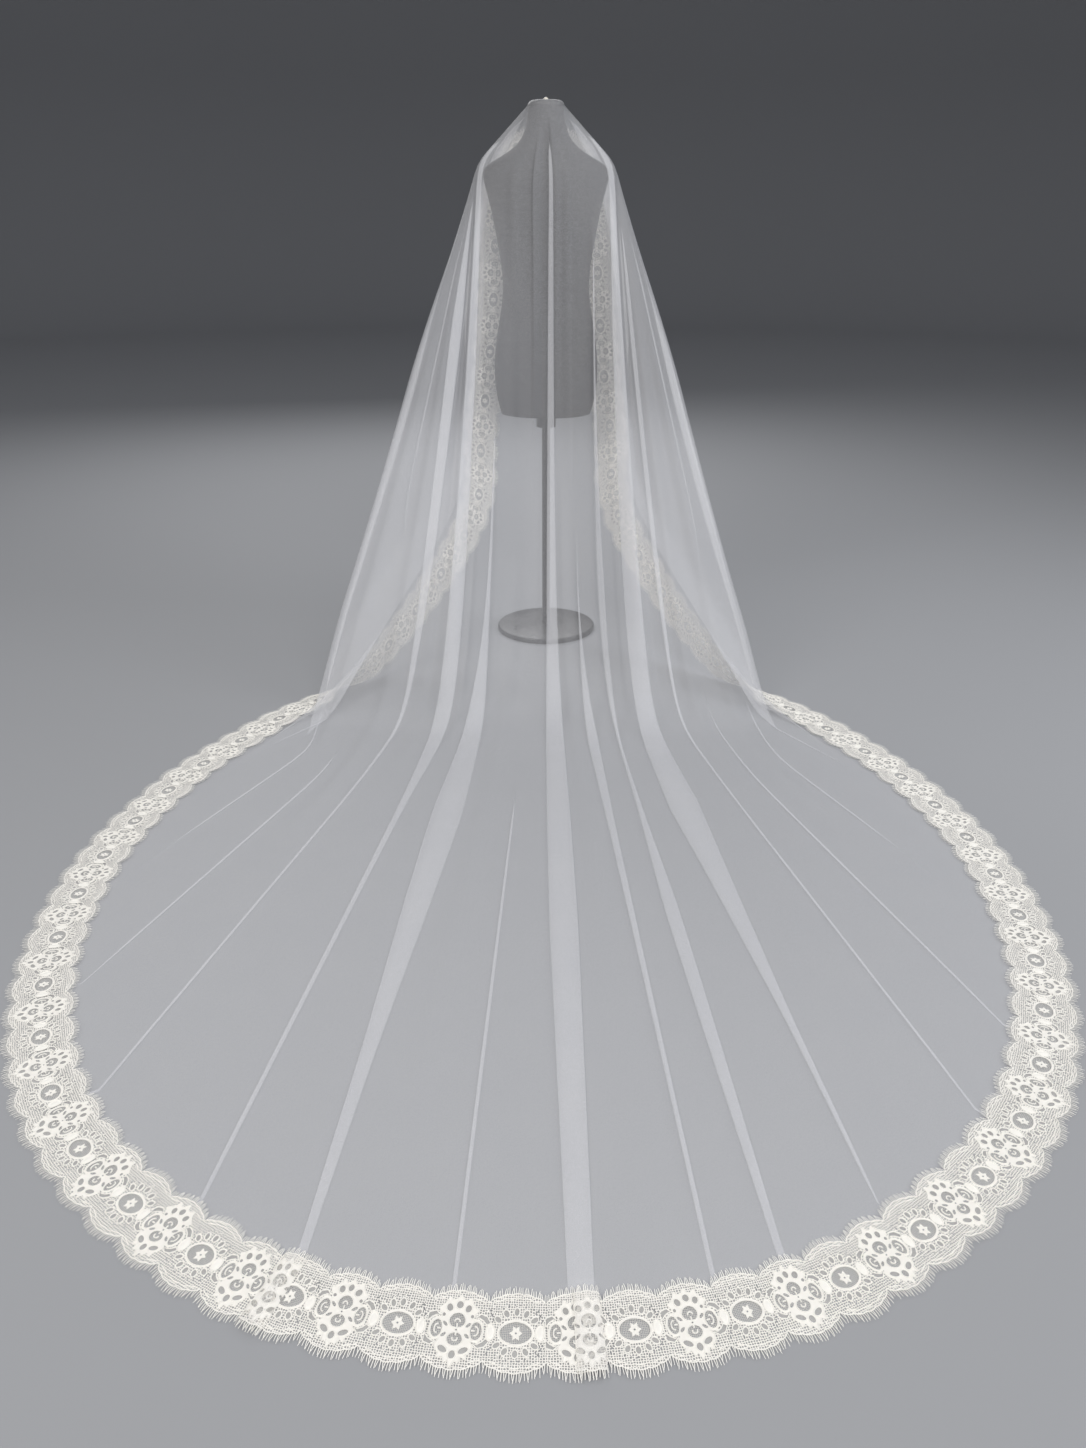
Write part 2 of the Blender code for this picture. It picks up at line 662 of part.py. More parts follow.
def turn_of(vertex):
    """A vertex's angle round Z, from -Y towards +X, in turns."""
    return (math.atan2(vertex.co.x, -vertex.co.y) / (2 * math.pi)) % 1.0


def bridge_rings(bm, ring, hole, up):
    """Fills the flat ring between many vertices outside and a few inside."""
    ring = sorted(ring, key=turn_of)
    hole = sorted(hole, key=turn_of)
    i = j = 0
    while i < len(ring) or j < len(hole):
        next_ring, next_hole = ring[(i + 1) % len(ring)], hole[(j + 1) % len(hole)]
        ring_turn = turn_of(next_ring) + (i + 1) // len(ring)
        hole_turn = turn_of(next_hole) + (j + 1) // len(hole)
        a, b = ring[i % len(ring)], hole[j % len(hole)]
        if j == len(hole) or (i < len(ring) and ring_turn <= hole_turn):
            corners = (a, next_ring, b)
            i += 1
        else:
            corners = (a, next_hole, b)
            j += 1
        bm.faces.new(corners if up else corners[::-1])


# ---------------------------------------------------------------- the lace border
class Course:
    """The whole border, which keeps to the tulle's own lines where it hangs."""

    def __init__(self, places):
        self.places = sorted(places)
        self.borders = [Border(place) for place in self.places]

    def border(self, place):
        place = wrap(place)
        i = bisect_right(self.places, place)
        low, high = self.places[i - 1], self.places[i % len(self.places)]
        start, end = self.borders[i - 1], self.borders[i % len(self.places)]
        if min(start.facing.z, end.facing.z) > FLAT:
            return Border(place)
        return start.blend(end, ((place - low) % (2 * HALF)) / ((high - low) % (2 * HALF)))


def lace_cell():
    """One repeat's corners and triangles, flat, in shares of its length and metres in from the edge."""
    cell = 2 * HALF / LACE_CELLS
    outer, inner = list(LACE_OUTER), list(LACE_INNER)
    outline = outer + [(1.0, outer[0][1]), (1.0, inner[0][1])] + inner[:0:-1] + [inner[0]]
    holes = []
    for k in range(4):
        angle = math.radians(45 + 90 * k)
        reach = Vector((math.cos(angle), math.sin(angle)))
        side = Vector((-reach.y, reach.x))
        middle = Vector((ROSETTE[0] * cell, ROSETTE[1])) + reach * PETAL_REACH
        ends = (reach * PETAL_LENGTH, side * PETAL_WIDTH, reach * -PETAL_LENGTH, side * -PETAL_WIDTH)
        holes.append([((middle + end).x / cell, (middle + end).y) for end in ends])
    eye = []
    for k in range(EYE_SIDES):
        angle = 2 * math.pi * (k + 0.5) / EYE_SIDES
        eye.append((EYE[0] + EYE_HALF_LENGTH * math.sin(angle) / cell, EYE[1] + EYE_HALF_WIDTH * math.cos(angle)))
    holes.append(eye)
    points, edges = [], []
    for loop in [outline] + holes:
        base = len(points)
        points += [Vector((x * cell, y)) for x, y in loop]
        edges += [(base + k, base + (k + 1) % len(loop)) for k in range(len(loop))]
    found = delaunay_2d_cdt(points, edges, [], 0, 1e-6)
    corners, triangles = found[0], found[2]
    kept = []
    for triangle in triangles:
        centre = sum((corners[i] for i in triangle), Vector((0, 0))) / 3
        centre = (centre.x / cell, centre.y)
        if inside(centre, outline) and not any(inside(centre, hole) for hole in holes):
            kept.append(tuple(triangle))
    return [(p.x / cell, p.y) for p in corners], kept


def inside(point, loop):
    """Whether a flat point lies in a closed loop."""
    x, y = point
    crossings = 0
    for (x0, y0), (x1, y1) in zip(loop, loop[1:] + loop[:1]):
        if (y0 > y) != (y1 > y) and x < x0 + (y - y0) / (y1 - y0) * (x1 - x0):
            crossings += 1
    return crossings % 2 == 1


def lace_mesh(course, first, last):
    """The border's wall from one repeat to another, along the veil's edge."""
    corners, triangles = lace_cell()
    cell = 2 * HALF / LACE_CELLS
    bm = bmesh.new()
    known = {}
    skins = {}

    def corner(number, x, inset):
        mark = (round(number + x, 5), round(inset, 5))
        if mark not in known:
            along = number + x
            if abs(along - first) < 1e-6:
                along += SEAM / cell
            if abs(along - last) < 1e-6:
                along -= SEAM / cell
            border = course.border(-HALF + along * cell)
            p, way = border.at(inset), border.facing
            hanging = ease(FLAT - border.facing.z, 0.0, 0.02)
            lift = LACE_LIFT_FLOOR + (LACE_LIFT_HANGING - LACE_LIFT_FLOOR) * hanging
            p = p + way * (lift * ease(inset, *LACE_CLIMB))
            known[mark] = (bm.verts.new(p + way * (LACE / 2)), bm.verts.new(p - way * (LACE / 2)))
        return known[mark]

    for number in range(first, last):
        for triangle in triangles:
            pairs = [corner(number, *corners[i]) for i in triangle]
            for side in (0, 1):
                skins.setdefault(side, []).append(tuple(pair[side] for pair in pairs))
    for face in skins[0]:
        bm.faces.new(face)
    for face in skins[1]:
        bm.faces.new(face[::-1])
    bm.edges.ensure_lookup_table()
    partner = {}
    for top, bottom in known.values():
        partner[top] = bottom
    rims = [edge for edge in bm.edges if edge.is_boundary and edge.verts[0] in partner]
    for edge in rims:
        loop = edge.link_loops[0]
        a, b = loop.vert, loop.link_loop_next.vert
        bm.faces.new((b, a, partner[a]))
        bm.faces.new((b, partner[a], partner[b]))
    return bm


# ---------------------------------------------------------------- the dress form and the pin
def turned(profile, sides):
    """A round solid from a profile of (radius, height) pairs, from its axis below to its axis above."""
    bm = bmesh.new()
    line = [bm.verts.new((radius, 0.0, z)) for radius, z in profile]
    edges = [bm.edges.new(pair) for pair in zip(line, line[1:])]
    bmesh.ops.spin(
        bm, geom=line + edges, cent=(0, 0, 0), axis=(0, 0, 1), angle=2 * math.pi, steps=sides, use_merge=True
    )
    bmesh.ops.remove_doubles(bm, verts=bm.verts, dist=0.00002)
    bmesh.ops.recalc_face_normals(bm, faces=bm.faces)
    return bm


def rounded(radius, low, high, soft, steps=3):
    """The profile of a disc with its upper corner rounded."""
    profile = [(0.0, low), (radius, low)]
    for k in range(steps + 1):
        angle = math.pi / 2 * k / steps
        profile.append((radius - soft + soft * math.cos(angle), high - soft + soft * math.sin(angle)))
    return profile + [(0.0, high)]


def torso_mesh():
    """The torso and neck, a closed loft through the rings of its table."""
    bm = bmesh.new()
    rings = []
    for z, width, depth, forward in TORSO_ROWS:
        ring = []
        for k in range(TORSO_SIDES):
            angle = 2 * math.pi * k / TORSO_SIDES
            ring.append(bm.verts.new((width * math.cos(angle), forward + depth * math.sin(angle), z)))
        rings.append(ring)
    for low, high in zip(rings, rings[1:]):
        for k in range(TORSO_SIDES):
            n = (k + 1) % TORSO_SIDES
            bm.faces.new((low[k], low[n], high[n], high[k]))
    bm.faces.new(rings[0][::-1])
    bm.faces.new(rings[-1])
    return bm


def pin_mesh():
    """The pin's shank through the tulle and its domed head on top of it."""
    under = CAP_TOP + SEAM + TULLE + SEAM
    profile = [(0.0, CAP_TOP + SEAM), (PIN_SHANK, CAP_TOP + SEAM), (PIN_SHANK, under), (PIN_HEAD, under)]
    for k in range(1, 4):
        angle = math.pi / 2 * k / 4
        profile.append((PIN_HEAD * math.cos(angle), under + PIN_HEAD_HEIGHT * math.sin(angle)))
    return turned(profile + [(0.0, under + PIN_HEAD_HEIGHT)], 12)


# ---------------------------------------------------------------- objects
def finish(colour, roughness, metallic=0.0):
    return {"Base Color": (*colour, 1.0), "Roughness": roughness, "Metallic": metallic}


FINISHES = {
    "tulle": finish((0.86, 0.86, 0.88), 0.75),
    "lace": finish((0.90, 0.87, 0.81), 0.80),
    "form_cloth": finish((0.022, 0.021, 0.023), 0.85),
    "cap_paint": finish((0.030, 0.029, 0.030), 0.45),
    "steel": finish((0.055, 0.055, 0.058), 0.35, 0.9),
    "cream_bead": finish((0.86, 0.80, 0.68), 0.35),
}


def material(name):
    found = bpy.data.materials.get(name)
    if found:
        return found
    made = bpy.data.materials.new(name)
    made.use_nodes = True
    shader = made.node_tree.nodes["Principled BSDF"]
    for socket, value in FINISHES[name].items():
        shader.inputs[socket].default_value = value
    return made


def add(name, bm, finish_name, smooth_below):
    mesh = bpy.data.meshes.new(name)
    bm.to_mesh(mesh)
    bm.free()
    mesh.materials.append(material(finish_name))
    mesh.shade_smooth()
    mesh.set_sharp_from_angle(angle=math.radians(smooth_below))
    thing = bpy.data.objects.new(name, mesh)
    bpy.context.scene.collection.objects.link(thing)
    return thing


def add_form():
    add("form_base", turned(rounded(BASE_RADIUS, 0.0, BASE_HEIGHT, BASE_ROUND, 2), 28), "steel", 40)
    collar_low = TORSO_ROWS[0][0] - SEAM - COLLAR_HEIGHT
    pole = [(0.0, BASE_HEIGHT + SEAM), (POLE_RADIUS, BASE_HEIGHT + SEAM)]
    pole += [(POLE_RADIUS, collar_low - SEAM), (0.0, collar_low - SEAM)]
    add("form_pole", turned(pole, 14), "steel", 40)
    collar = rounded(COLLAR_RADIUS, collar_low, collar_low + COLLAR_HEIGHT, 0.004, 2)
    add("form_collar", turned(collar, 14), "steel", 40)
    add("form_torso", torso_mesh(), "form_cloth", 60)
    cap = rounded(CAP_RADIUS, CAP_TOP - CAP_HEIGHT, CAP_TOP, CAP_ROUND)
    add("form_neck_cap", turned(cap, 28), "cap_paint", 40)
    add("pin", pin_mesh(), "cream_bead", 50)


def add_veil():
    add("tulle", wall_mesh(tulle_columns(), TULLE), "tulle", 50)
    course = Course(line_places())
    half = LACE_CELLS // 2
    train = 18
    add("lace_train", lace_mesh(course, half - train, half + train), "lace", 40)
    add("lace_front_right", lace_mesh(course, half + train, LACE_CELLS), "lace", 40)
    add("lace_front_left", lace_mesh(course, 0, half - train), "lace", 40)


def main():
    for thing in list(bpy.data.objects):
        bpy.data.objects.remove(thing, do_unlink=True)
    add_form()
    add_veil()


main()
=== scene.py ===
"""The looks of a single-tier bridal veil with a lace border all round, hung over a limbless dress form.

Metres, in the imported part's frame: the form's pole stands on the origin, +X is the wearer's right, the
train runs out along -Y and the wearer's front faces +Y.

The tulle is one sheet of rays, as in the part's source: each ray leaves the neck cap, goes over the
shoulders, falls, lands and runs out to a place on the veil's edge. A ray is named by that place, measured
along the edge from the middle of the hem, positive on the +X side. How far down a ray a point is, its stage
tells: -1 at the cap's rim, 0 at the shoulder line, 1 where it lands and 2 where the border starts.
"""

import math
from bisect import bisect_right

import bmesh
import bpy
import numpy as np
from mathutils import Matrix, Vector
from mathutils.geometry import delaunay_2d_cdt


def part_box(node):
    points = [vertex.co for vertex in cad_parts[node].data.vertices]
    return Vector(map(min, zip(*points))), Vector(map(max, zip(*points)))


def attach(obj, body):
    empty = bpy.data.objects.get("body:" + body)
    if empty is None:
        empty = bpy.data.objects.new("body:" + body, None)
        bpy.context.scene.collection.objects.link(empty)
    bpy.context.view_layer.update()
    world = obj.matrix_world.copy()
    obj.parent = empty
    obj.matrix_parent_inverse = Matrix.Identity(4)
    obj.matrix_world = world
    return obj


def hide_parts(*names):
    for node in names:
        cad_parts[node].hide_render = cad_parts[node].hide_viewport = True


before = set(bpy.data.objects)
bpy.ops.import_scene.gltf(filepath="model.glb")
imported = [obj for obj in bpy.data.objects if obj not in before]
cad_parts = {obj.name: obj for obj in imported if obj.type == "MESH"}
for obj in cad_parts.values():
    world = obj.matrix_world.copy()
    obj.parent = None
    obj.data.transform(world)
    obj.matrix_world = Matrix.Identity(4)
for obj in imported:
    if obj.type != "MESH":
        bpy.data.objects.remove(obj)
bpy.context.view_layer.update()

# ---------------------------------------------------------------- driving sizes
SEAM = 0.0004  # between the cap's top and the cloth on it
TULLE = 0.0012  # the solid wall that the tulle's shell runs in the middle of
FLOOR_FILM = TULLE / 2
CAP_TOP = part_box("form_neck_cap")[1].z
CAP_RADIUS = 0.050
CAP_OVER = 0.0022  # how far the cloth stands off the cap's side
WELD = 0.00002  # points nearer than this are one

EDGE_ROWS = (
    # place            x       y       z      faces x  y    z
    ("hem middle", 0.000, -2.605, 0.000, 0.00, 0.00, 1.00),
    ("hem quarter", 0.400, -2.527, 0.000, 0.00, 0.00, 1.00),
    ("hem corner", 0.745, -2.265, 0.000, 0.00, 0.00, 1.00),
    ("side, low", 0.935, -1.910, 0.000, 0.00, 0.00, 1.00),
    ("side, widest", 0.995, -1.500, 0.000, 0.00, 0.00, 1.00),
    ("flank", 0.940, -1.110, 0.000, 0.00, 0.00, 1.00),
    ("flank, high", 0.810, -0.790, 0.000, 0.00, 0.00, 1.00),
    ("beside the skirt", 0.672, -0.590, 0.000, 0.12, 0.10, 0.98),
    ("leaves the floor", 0.530, -0.475, 0.000, 0.62, 0.66, 0.42),
    ("shin", 0.425, -0.350, 0.070, 0.80, 0.59, 0.07),
    ("calf", 0.306, -0.190, 0.195, 0.68, 0.72, -0.05),
    ("below the knee", 0.205, -0.080, 0.340, 0.58, 0.80, -0.10),
    ("knee", 0.163, 0.000, 0.463, 0.52, 0.84, -0.10),
    ("thigh", 0.160, 0.055, 0.570, 0.48, 0.87, -0.10),
    ("lower hip", 0.150, 0.095, 0.680, 0.47, 0.88, -0.05),
    ("hip", 0.134, 0.124, 0.800, 0.47, 0.88, 0.00),
    ("waist", 0.118, 0.140, 0.960, 0.47, 0.88, 0.00),
    ("ribs", 0.108, 0.148, 1.110, 0.47, 0.88, 0.00),
    ("bust", 0.100, 0.144, 1.225, 0.45, 0.88, 0.12),
    ("collar bone", 0.078, 0.124, 1.318, 0.32, 0.88, 0.35),
    ("throat side", 0.042, 0.102, 1.366, 0.06, 0.91, 0.40),
    ("throat", 0.000, 0.090, 1.385, 0.00, 0.97, 0.24),
)
LEFT_WIDER = 1.013  # the train's left side against its right
EDGE_STEPS = 12  # from one row of the edge to the next

# Where a ray crosses the cap's rim and the shoulder line: degrees round from the middle of the back.
SPREAD_ROWS = (
    # edge   rim  shoulder
    (0.00, 0.0, 0.0),
    (0.20, 17.0, 17.0),
    (0.36, 42.0, 42.0),
    (0.56, 69.0, 69.0),
    (0.95, 80.0, 80.0),
    (1.60, 85.0, 85.0),
    (2.60, 91.0, 91.0),
    (3.20, 95.0, 95.0),
    (3.70, 98.0, 98.0),
    (4.05, 103.0, 101.0),
    (4.30, 109.0, 104.0),
    (4.45, 119.0, 108.0),
    (4.53, 137.0, 116.0),
    (4.58, 157.0, 132.0),
)
SHOULDER_HALF = 0.1955
SHOULDER_BACK, SHOULDER_FRONT = 0.115, 0.092
SHOULDER_BACK_Z, SHOULDER_TIP_Z, THROAT_Z = 1.345, 1.386, 1.490
REACH_ROWS = ((0.0, 0.78), (1.4, 0.78), (1.8, 0.77), (2.1, 0.745), (2.75, 0.66))  # edge, fall's way out
SIDE_WAY = math.radians(-63.0)  # the steepest way toward the sides in which a ray lands
REACH_HEIGHT, WAY_HEIGHT = 0.03, 0.05  # a ray that ends higher is free of the reach, and of that way
STRAIGHT_HEIGHTS = (0.60, 1.45)  # from one to the other a ray's end draws it straight, off the shoulder line
# The fall's curve: shares of its way out and of its drop at its two handles, with what a ray down the back
# and one that lands on the floor add.
FIRST_OUT, FIRST_OUT_BACK = 0.33, -0.305
FIRST_DROP, FIRST_DROP_BACK = 0.33, 0.21
SECOND_OUT, SECOND_OUT_FLOOR, SECOND_OUT_BACK = 0.667, 0.12, -0.49
SECOND_DROP, SECOND_DROP_FLOOR, SECOND_DROP_BACK = 0.667, 0.245, 0.088
FALL_STEPS = 48
SETTLE_HEIGHT = 0.30  # under this a ray's end counts more and more as lying on the floor
BORDER_DEPTH = 0.118  # from the veil's edge to where the cloth stops following the border
TULLE_INSET = 0.088  # from the veil's edge to the tulle's own edge, under the lace

# Rows of the shell: rings on the cap, then how many rows from stage to stage.
CAP_SOFT = 0.0130  # how far the cap's upper corner is rounded
CAP_RINGS = (
    # radius and height over the cap's top
    (0.0030, 0.0), (0.0180, 0.0), (0.0320, 0.0), (0.0400, -0.0003), (0.0455, -0.0028), (0.0492, -0.0068),
)
NECK_ROWS, FALL_ROWS, FLOOR_ROWS, STRIP_ROWS = 10, 46, 38, 4
CAP_STAGES, STRIP_STAGES = (-1.6, -1.05), (2.0, 2.1)
NECK_SHARE, FALL_SHARE = 0.35, 0.88  # the most of a ray that its neck takes, and of the rest its fall
FLOOR_LENGTH = 0.02  # the fall may take more than that share where this much is left for the floor
ROUND_ROW = 12  # rows up from the tulle's own edge, where lengths round the veil are taken
RAYS = 192  # rays that the smooth sheet is worked out from

# What evens out the sheet: edge places or stages as where it starts, is full, fades and ends.
RELAX_PLACES = (1.9, 2.5, 3.0, 3.6)
RELAX_PASSES = 40
FLARE_PLACES = (0.70, 1.60, 3.10, 4.00)  # where the sides of the fall spread more than the rays' own curve
FLARE_STAGES = (0.04, 0.85, 0.95, 1.30)
FLARE_LEFT, FLARE_RIGHT = 0.110, 0.078
SOFTEN_PASSES, SHOULDER_PASSES = 10, 2  # the first few passes round the cloth over the shoulders too
SOFTEN_STAGES, SHOULDER_STAGES = (0.25, 1.9), (-0.9, 1.9)

# Knife pleats and pinched creases, each three layers of tulle: place on the edge, then the width in
# millimetres on the neck, at the shoulder, a third and two thirds of the way down, where it lands, at the
# quarters of the way over the floor and at the border.
FOLD_STAGES = (-0.45, 0.0, 0.35, 0.70, 1.0, 1.25, 1.5, 1.75, 2.0)
FOLD_ROWS = (
    # name          edge  neck  shoulder  third  low  lands  1/4  1/2  3/4  border
    ("left return", -3.30, 0.0, 0.0, 5.0, 7.0, 3.0, 0.0, 0.0, 0.0, 0.0),
    ("left side", -2.25, 0.0, 0.0, 0.0, 5.0, 7.0, 5.0, 4.0, 3.0, 0.0),
    ("left outer", -1.62, 0.0, 0.0, 0.0, 0.0, 3.0, 5.0, 4.5, 3.5, 2.0),
    ("left far", -1.25, 0.0, 0.0, 0.0, 0.0, 0.0, 4.0, 6.0, 4.5, 3.5),
    ("left flank", -0.92, 0.0, 16.0, 25.0, 24.0, 8.0, 6.0, 5.5, 5.0, 4.5),
    ("left shoulder", -0.575, 0.0, 12.0, 26.0, 38.0, 42.0, 16.0, 10.0, 8.0, 6.0),
    ("left back", -0.37, 0.0, 0.0, 0.0, 16.0, 50.0, 74.0, 54.0, 26.0, 12.0),
    ("back crease", -0.13, 0.0, 0.0, 0.0, 0.0, 0.0, 4.0, 5.0, 5.5, 5.0),
    ("middle back", 0.05, 4.0, 9.0, 18.0, 30.0, 46.0, 53.0, 55.0, 44.0, 33.0),
    ("right back", 0.245, 0.0, 0.0, 0.0, 4.0, 27.0, 16.0, 11.0, 7.0, 6.0),
    ("right inner", 0.36, 0.0, 0.0, 8.0, 30.0, 6.0, 12.0, 30.0, 22.0, 10.0),
    ("right shoulder", 0.56, 0.0, 24.0, 52.0, 56.0, 112.0, 80.0, 44.0, 13.0, 3.0),
    ("right flank", 0.86, 0.0, 0.0, 7.0, 11.0, 5.0, 4.5, 5.0, 4.5, 4.0),
    ("right far", 1.12, 0.0, 0.0, 0.0, 0.0, 3.0, 4.5, 6.0, 5.0, 4.0),
    ("right outer", 1.50, 0.0, 0.0, 0.0, 0.0, 3.0, 5.0, 4.5, 3.0, 1.5),
    ("right side", 2.10, 0.0, 0.0, 4.0, 6.0, 6.0, 5.0, 4.0, 3.0, 0.0),
    ("right return", 3.15, 0.0, 0.0, 5.0, 7.0, 2.0, 0.0, 0.0, 0.0, 0.0),
)
FOLD_OWN = 0.022  # along the edge, half of what a closed fold's lines take up
FOLD_OPEN = (0.0010, 0.0042)  # between these widths a fold opens
FOLD_ROOM = 0.44  # the share of the way to the next fold that one may fill
LAYER_HANGING, LAYER_FLOOR = 0.0030, 0.0014  # from one layer of a fold to the next
LAYER_LANDS = (0.6, 1.05)  # stages over which the layers come closer
FOLD_BEND = 0.8  # how far a fold's bends stand out, in half layers
FOLD_SIDE = 0.0060  # from a fold's edge out to where its top layer is down again
FOLD_SIDE_POINT = (0.45, 1.3)  # on the way down: the share of that width, and the layers still under it
FOLD_PASSES = 3  # how often a fold's width is evened out along its ray
FOLD_AT_BORDER = 0.35  # the share of its lift that a fold keeps where the border starts

# Soft troughs and ridges: place on the edge above and below, stages where they begin and end, height out of
# the cloth and half width, in millimetres.
SWELL_ROWS = (
    # above  below  begins ends  height half width
    (-3.95, -3.80, 0.10, 0.95, 13.0, 20.0),
    (-3.62, -3.50, 0.20, 1.00, -9.0, 22.0),
    (-2.95, -2.85, 0.15, 0.98, 11.0, 26.0),
    (-2.62, -2.62, 0.20, 0.85, -8.0, 24.0),
    (-1.95, -2.05, 0.15, 1.05, 9.0, 30.0),
    (-1.40, -1.52, 0.10, 1.30, 9.0, 26.0),
    (-1.08, -1.10, 0.05, 1.55, 9.0, 22.0),
    (-0.74, -0.76, 0.05, 1.25, -8.0, 16.0),
    (-0.66, -0.62, 0.00, 0.80, 6.0, 9.0),
    (-0.47, -0.48, 0.00, 1.15, 7.0, 11.0),
    (-0.28, -0.25, -0.30, 0.75, 5.0, 7.0),
    (-0.24, -0.25, 0.50, 1.90, 7.0, 15.0),
    (-0.13, -0.12, -0.55, 0.55, 4.5, 6.0),
    (-0.04, -0.04, -0.75, 0.92, -5.0, 9.0),
    (0.09, 0.12, -0.85, 0.45, 5.0, 6.0),
    (0.15, 0.16, 0.35, 1.60, 8.0, 17.0),
    (0.20, 0.24, -0.20, 0.60, 5.0, 7.0),
    (0.30, 0.30, 0.05, 0.95, -5.0, 9.0),
    (0.45, 0.46, 0.02, 1.10, 7.0, 11.0),
    (0.72, 0.72, 0.05, 1.40, -8.0, 18.0),
    (0.98, 1.02, 0.02, 1.35, 11.0, 20.0),
    (1.30, 1.36, 0.10, 1.60, 9.0, 24.0),
    (1.78, 1.90, 0.15, 1.10, 9.0, 30.0),
    (2.45, 2.50, 0.20, 0.90, -8.0, 26.0),
    (2.80, 2.78, 0.15, 0.98, 10.0, 24.0),
    (3.52, 3.45, 0.15, 1.00, -10.0, 24.0),
    (3.90, 3.78, 0.10, 0.95, 12.0, 22.0),
)
SWELL_LIFT = 1.35  # how much fuller every swell is than its row says
SWELL_SOFT = 0.28  # stages over which a swell comes and goes
SWELL_STEEP, SWELL_GENTLE = 1.5, 0.8  # how fast it falls off on its two sides
SWELL_LANDS = (0.85, 1.1)  # stages over which it turns into a low ridge on the floor
SWELL_ON_FLOOR = 0.45  # the share of its height that is left there
LOWEST = FLOOR_FILM * 0.6  # no point of the tulle lies lower
CALM_STAGES = (1.90, 2.0)  # where folds and swells come down before the border
PLAIN_SPACING = ((0.0, 0.026), (1.8, 0.034), (2.8, 0.045), (4.2, 0.030))  # edge, from line to line

# The lace, flat: metres along the edge within one repeat, and in from the veil's edge.
LACE_CELLS = 60
TRAIN_CELLS = 18  # repeats of the train's stretch on each side of the hem's middle
MIDDLE = 0.0535  # from the veil's edge to the line that the motifs are centred on
OUTER_VALLEY, OUTER_PEAK = 0.0165, 0.0030
INNER_VALLEY, INNER_PEAK = 0.0915, 0.1045
SCALLOP_STEPS = 20
LOBES, LOBE_DEPTH = 5, 0.0016  # the small lobes on each scallop
LOBE_ROUND, SCALLOP_ROUND = 0.8, 0.75  # under 1 they are fuller than a half wave
FRINGE_OUTER, FRINGE_INNER = 0.0115, 0.0095
FRINGE_STEP, FRINGE_WIDTH = 0.0030, 0.0013
FRINGE_UNEVEN = 0.12  # how much longer or shorter than the rest a lash may be
FRINGE_LEANS = ((0.0016, 2.1), (0.0009, 5.3))  # two waves that bunch the lashes: how far, and the pace
LASH_STEPS, LASH_TAPER, LASH_BOW = 3, 0.45, 1.5
LASH_FOOT, LASH_ARCH = 0.0004, 0.0011  # how high it starts, and how much it curls up
CORD, CORD_HEIGHT = 0.0017, 0.0009
CURL, CURL_HEIGHT = 0.0020, 0.0010
SCALLOP_CORD = 0.8  # the second cord along a scallop against the first
SCALLOP_CORD_IN = 0.0060  # and how far in from it
DOME_HEIGHT, LINK_HEIGHT = 0.0010, 0.0012
DOME_SHOULDER = (0.6, 0.8)  # shares of its half size and of its height
FLOOR_CLEAR = 0.0003  # nothing of the lace dips under the floor
THREADS_CLEAR = 0.8  # the share of their height that raised threads keep there
LACE_OVER_TULLE = 0.0024
LACE_CLIMB = (0.060, 0.088)  # from the veil's edge in, where the lace climbs onto the tulle
HANGING_CLIMB = 1.6  # how much more it stands off where it hangs
LYING = (0.90, 1.0)  # how far up the border faces where it starts to lie and where it lies flat
RIPPLE = 0.0007
RIPPLE_LONG, RIPPLE_SHORT, RIPPLE_SHIFT = 9.1, 23.0, 1.3
COURSE_STEPS = 2400  # places round the veil at which the border's frames are worked out

# Where a fold of the tulle runs out through the border, the lace is doubled with it, in metres.
TUCK_ROWS = (
    # place   width  from along a repeat  tulle's width at the top and at the hem
    (-0.372, 0.036, 0.018, 0.012, 0.020),
    (0.056, 0.038, 0.0195, 0.033, 0.037),
)
TUCK_LIFT, TUCK_CLEAR = 0.0034, 0.0005
TUCK_SQUARE = 6  # how squarely it comes down at its sides
TUCK_UV_SHIFT = 0.37  # its threads don't continue those under it
TUCK_TULLE_STARTS, TUCK_TULLE_ENDS = 0.1240, 0.0030  # in from the veil's edge
TUCK_TULLE_LOW, TUCK_TULLE_OVER = 0.0013, 0.0046  # its height before the lace, and how much it climbs
TUCK_TULLE_CLIMB = 0.16  # the share of its length over which it climbs
TUCK_TULLE_DROP = 0.8  # how far down it comes at its sides

# The stand and the pin
CORNER_STEPS = 6
CAP_LOW_SOFT, COLLAR_SOFT, COLLAR_LOW_SOFT, BASE_SOFT = 0.0015, 0.004, 0.002, 0.006
BEAD_HEIGHT, PIN_SHANK = 0.0062, 0.0012  # the shank's radius
BEAD_STARTS, BEAD_TURN, BEAD_STEPS = -20, 110, 8  # degrees, from the shank up

# The stage: a round floor, its rise all round and the top of its wall.
FLOOR_MIDDLE, FLOOR_RADIUS, SWEEP_RADIUS, WALL_TOP = 4.0, 11.0, 3.0, 12.0
SWEEP_STEPS, SWEEP_SIDES = 12, 72
UNDER_VEIL = -0.0006  # the floor's top, just clear of the cloth
SOFTBOXES = (
    # name, place, aims at, size, watts, colour
    ("key_softbox", (-2.8, -3.4, 3.6), (0.0, -0.9, 0.5), (2.4, 2.4), 93, (1.0, 0.985, 0.96)),
    ("front_softbox", (1.2, -4.6, 3.3), (0.0, 0.1, 1.0), (2.4, 1.8), 98, (1.0, 1.0, 1.0)),
    ("side_softbox", (3.2, -1.2, 2.4), (0.0, -0.2, 0.8), (1.6, 2.6), 52, (0.95, 0.97, 1.0)),
    ("back_softbox", (-0.8, 3.4, 3.0), (0.0, -0.4, 0.7), (3.0, 1.6), 75, (1.0, 1.0, 1.0)),
)
AIR_COLOUR, AIR_STRENGTH = (0.93, 0.95, 1.0, 1.0), 0.33

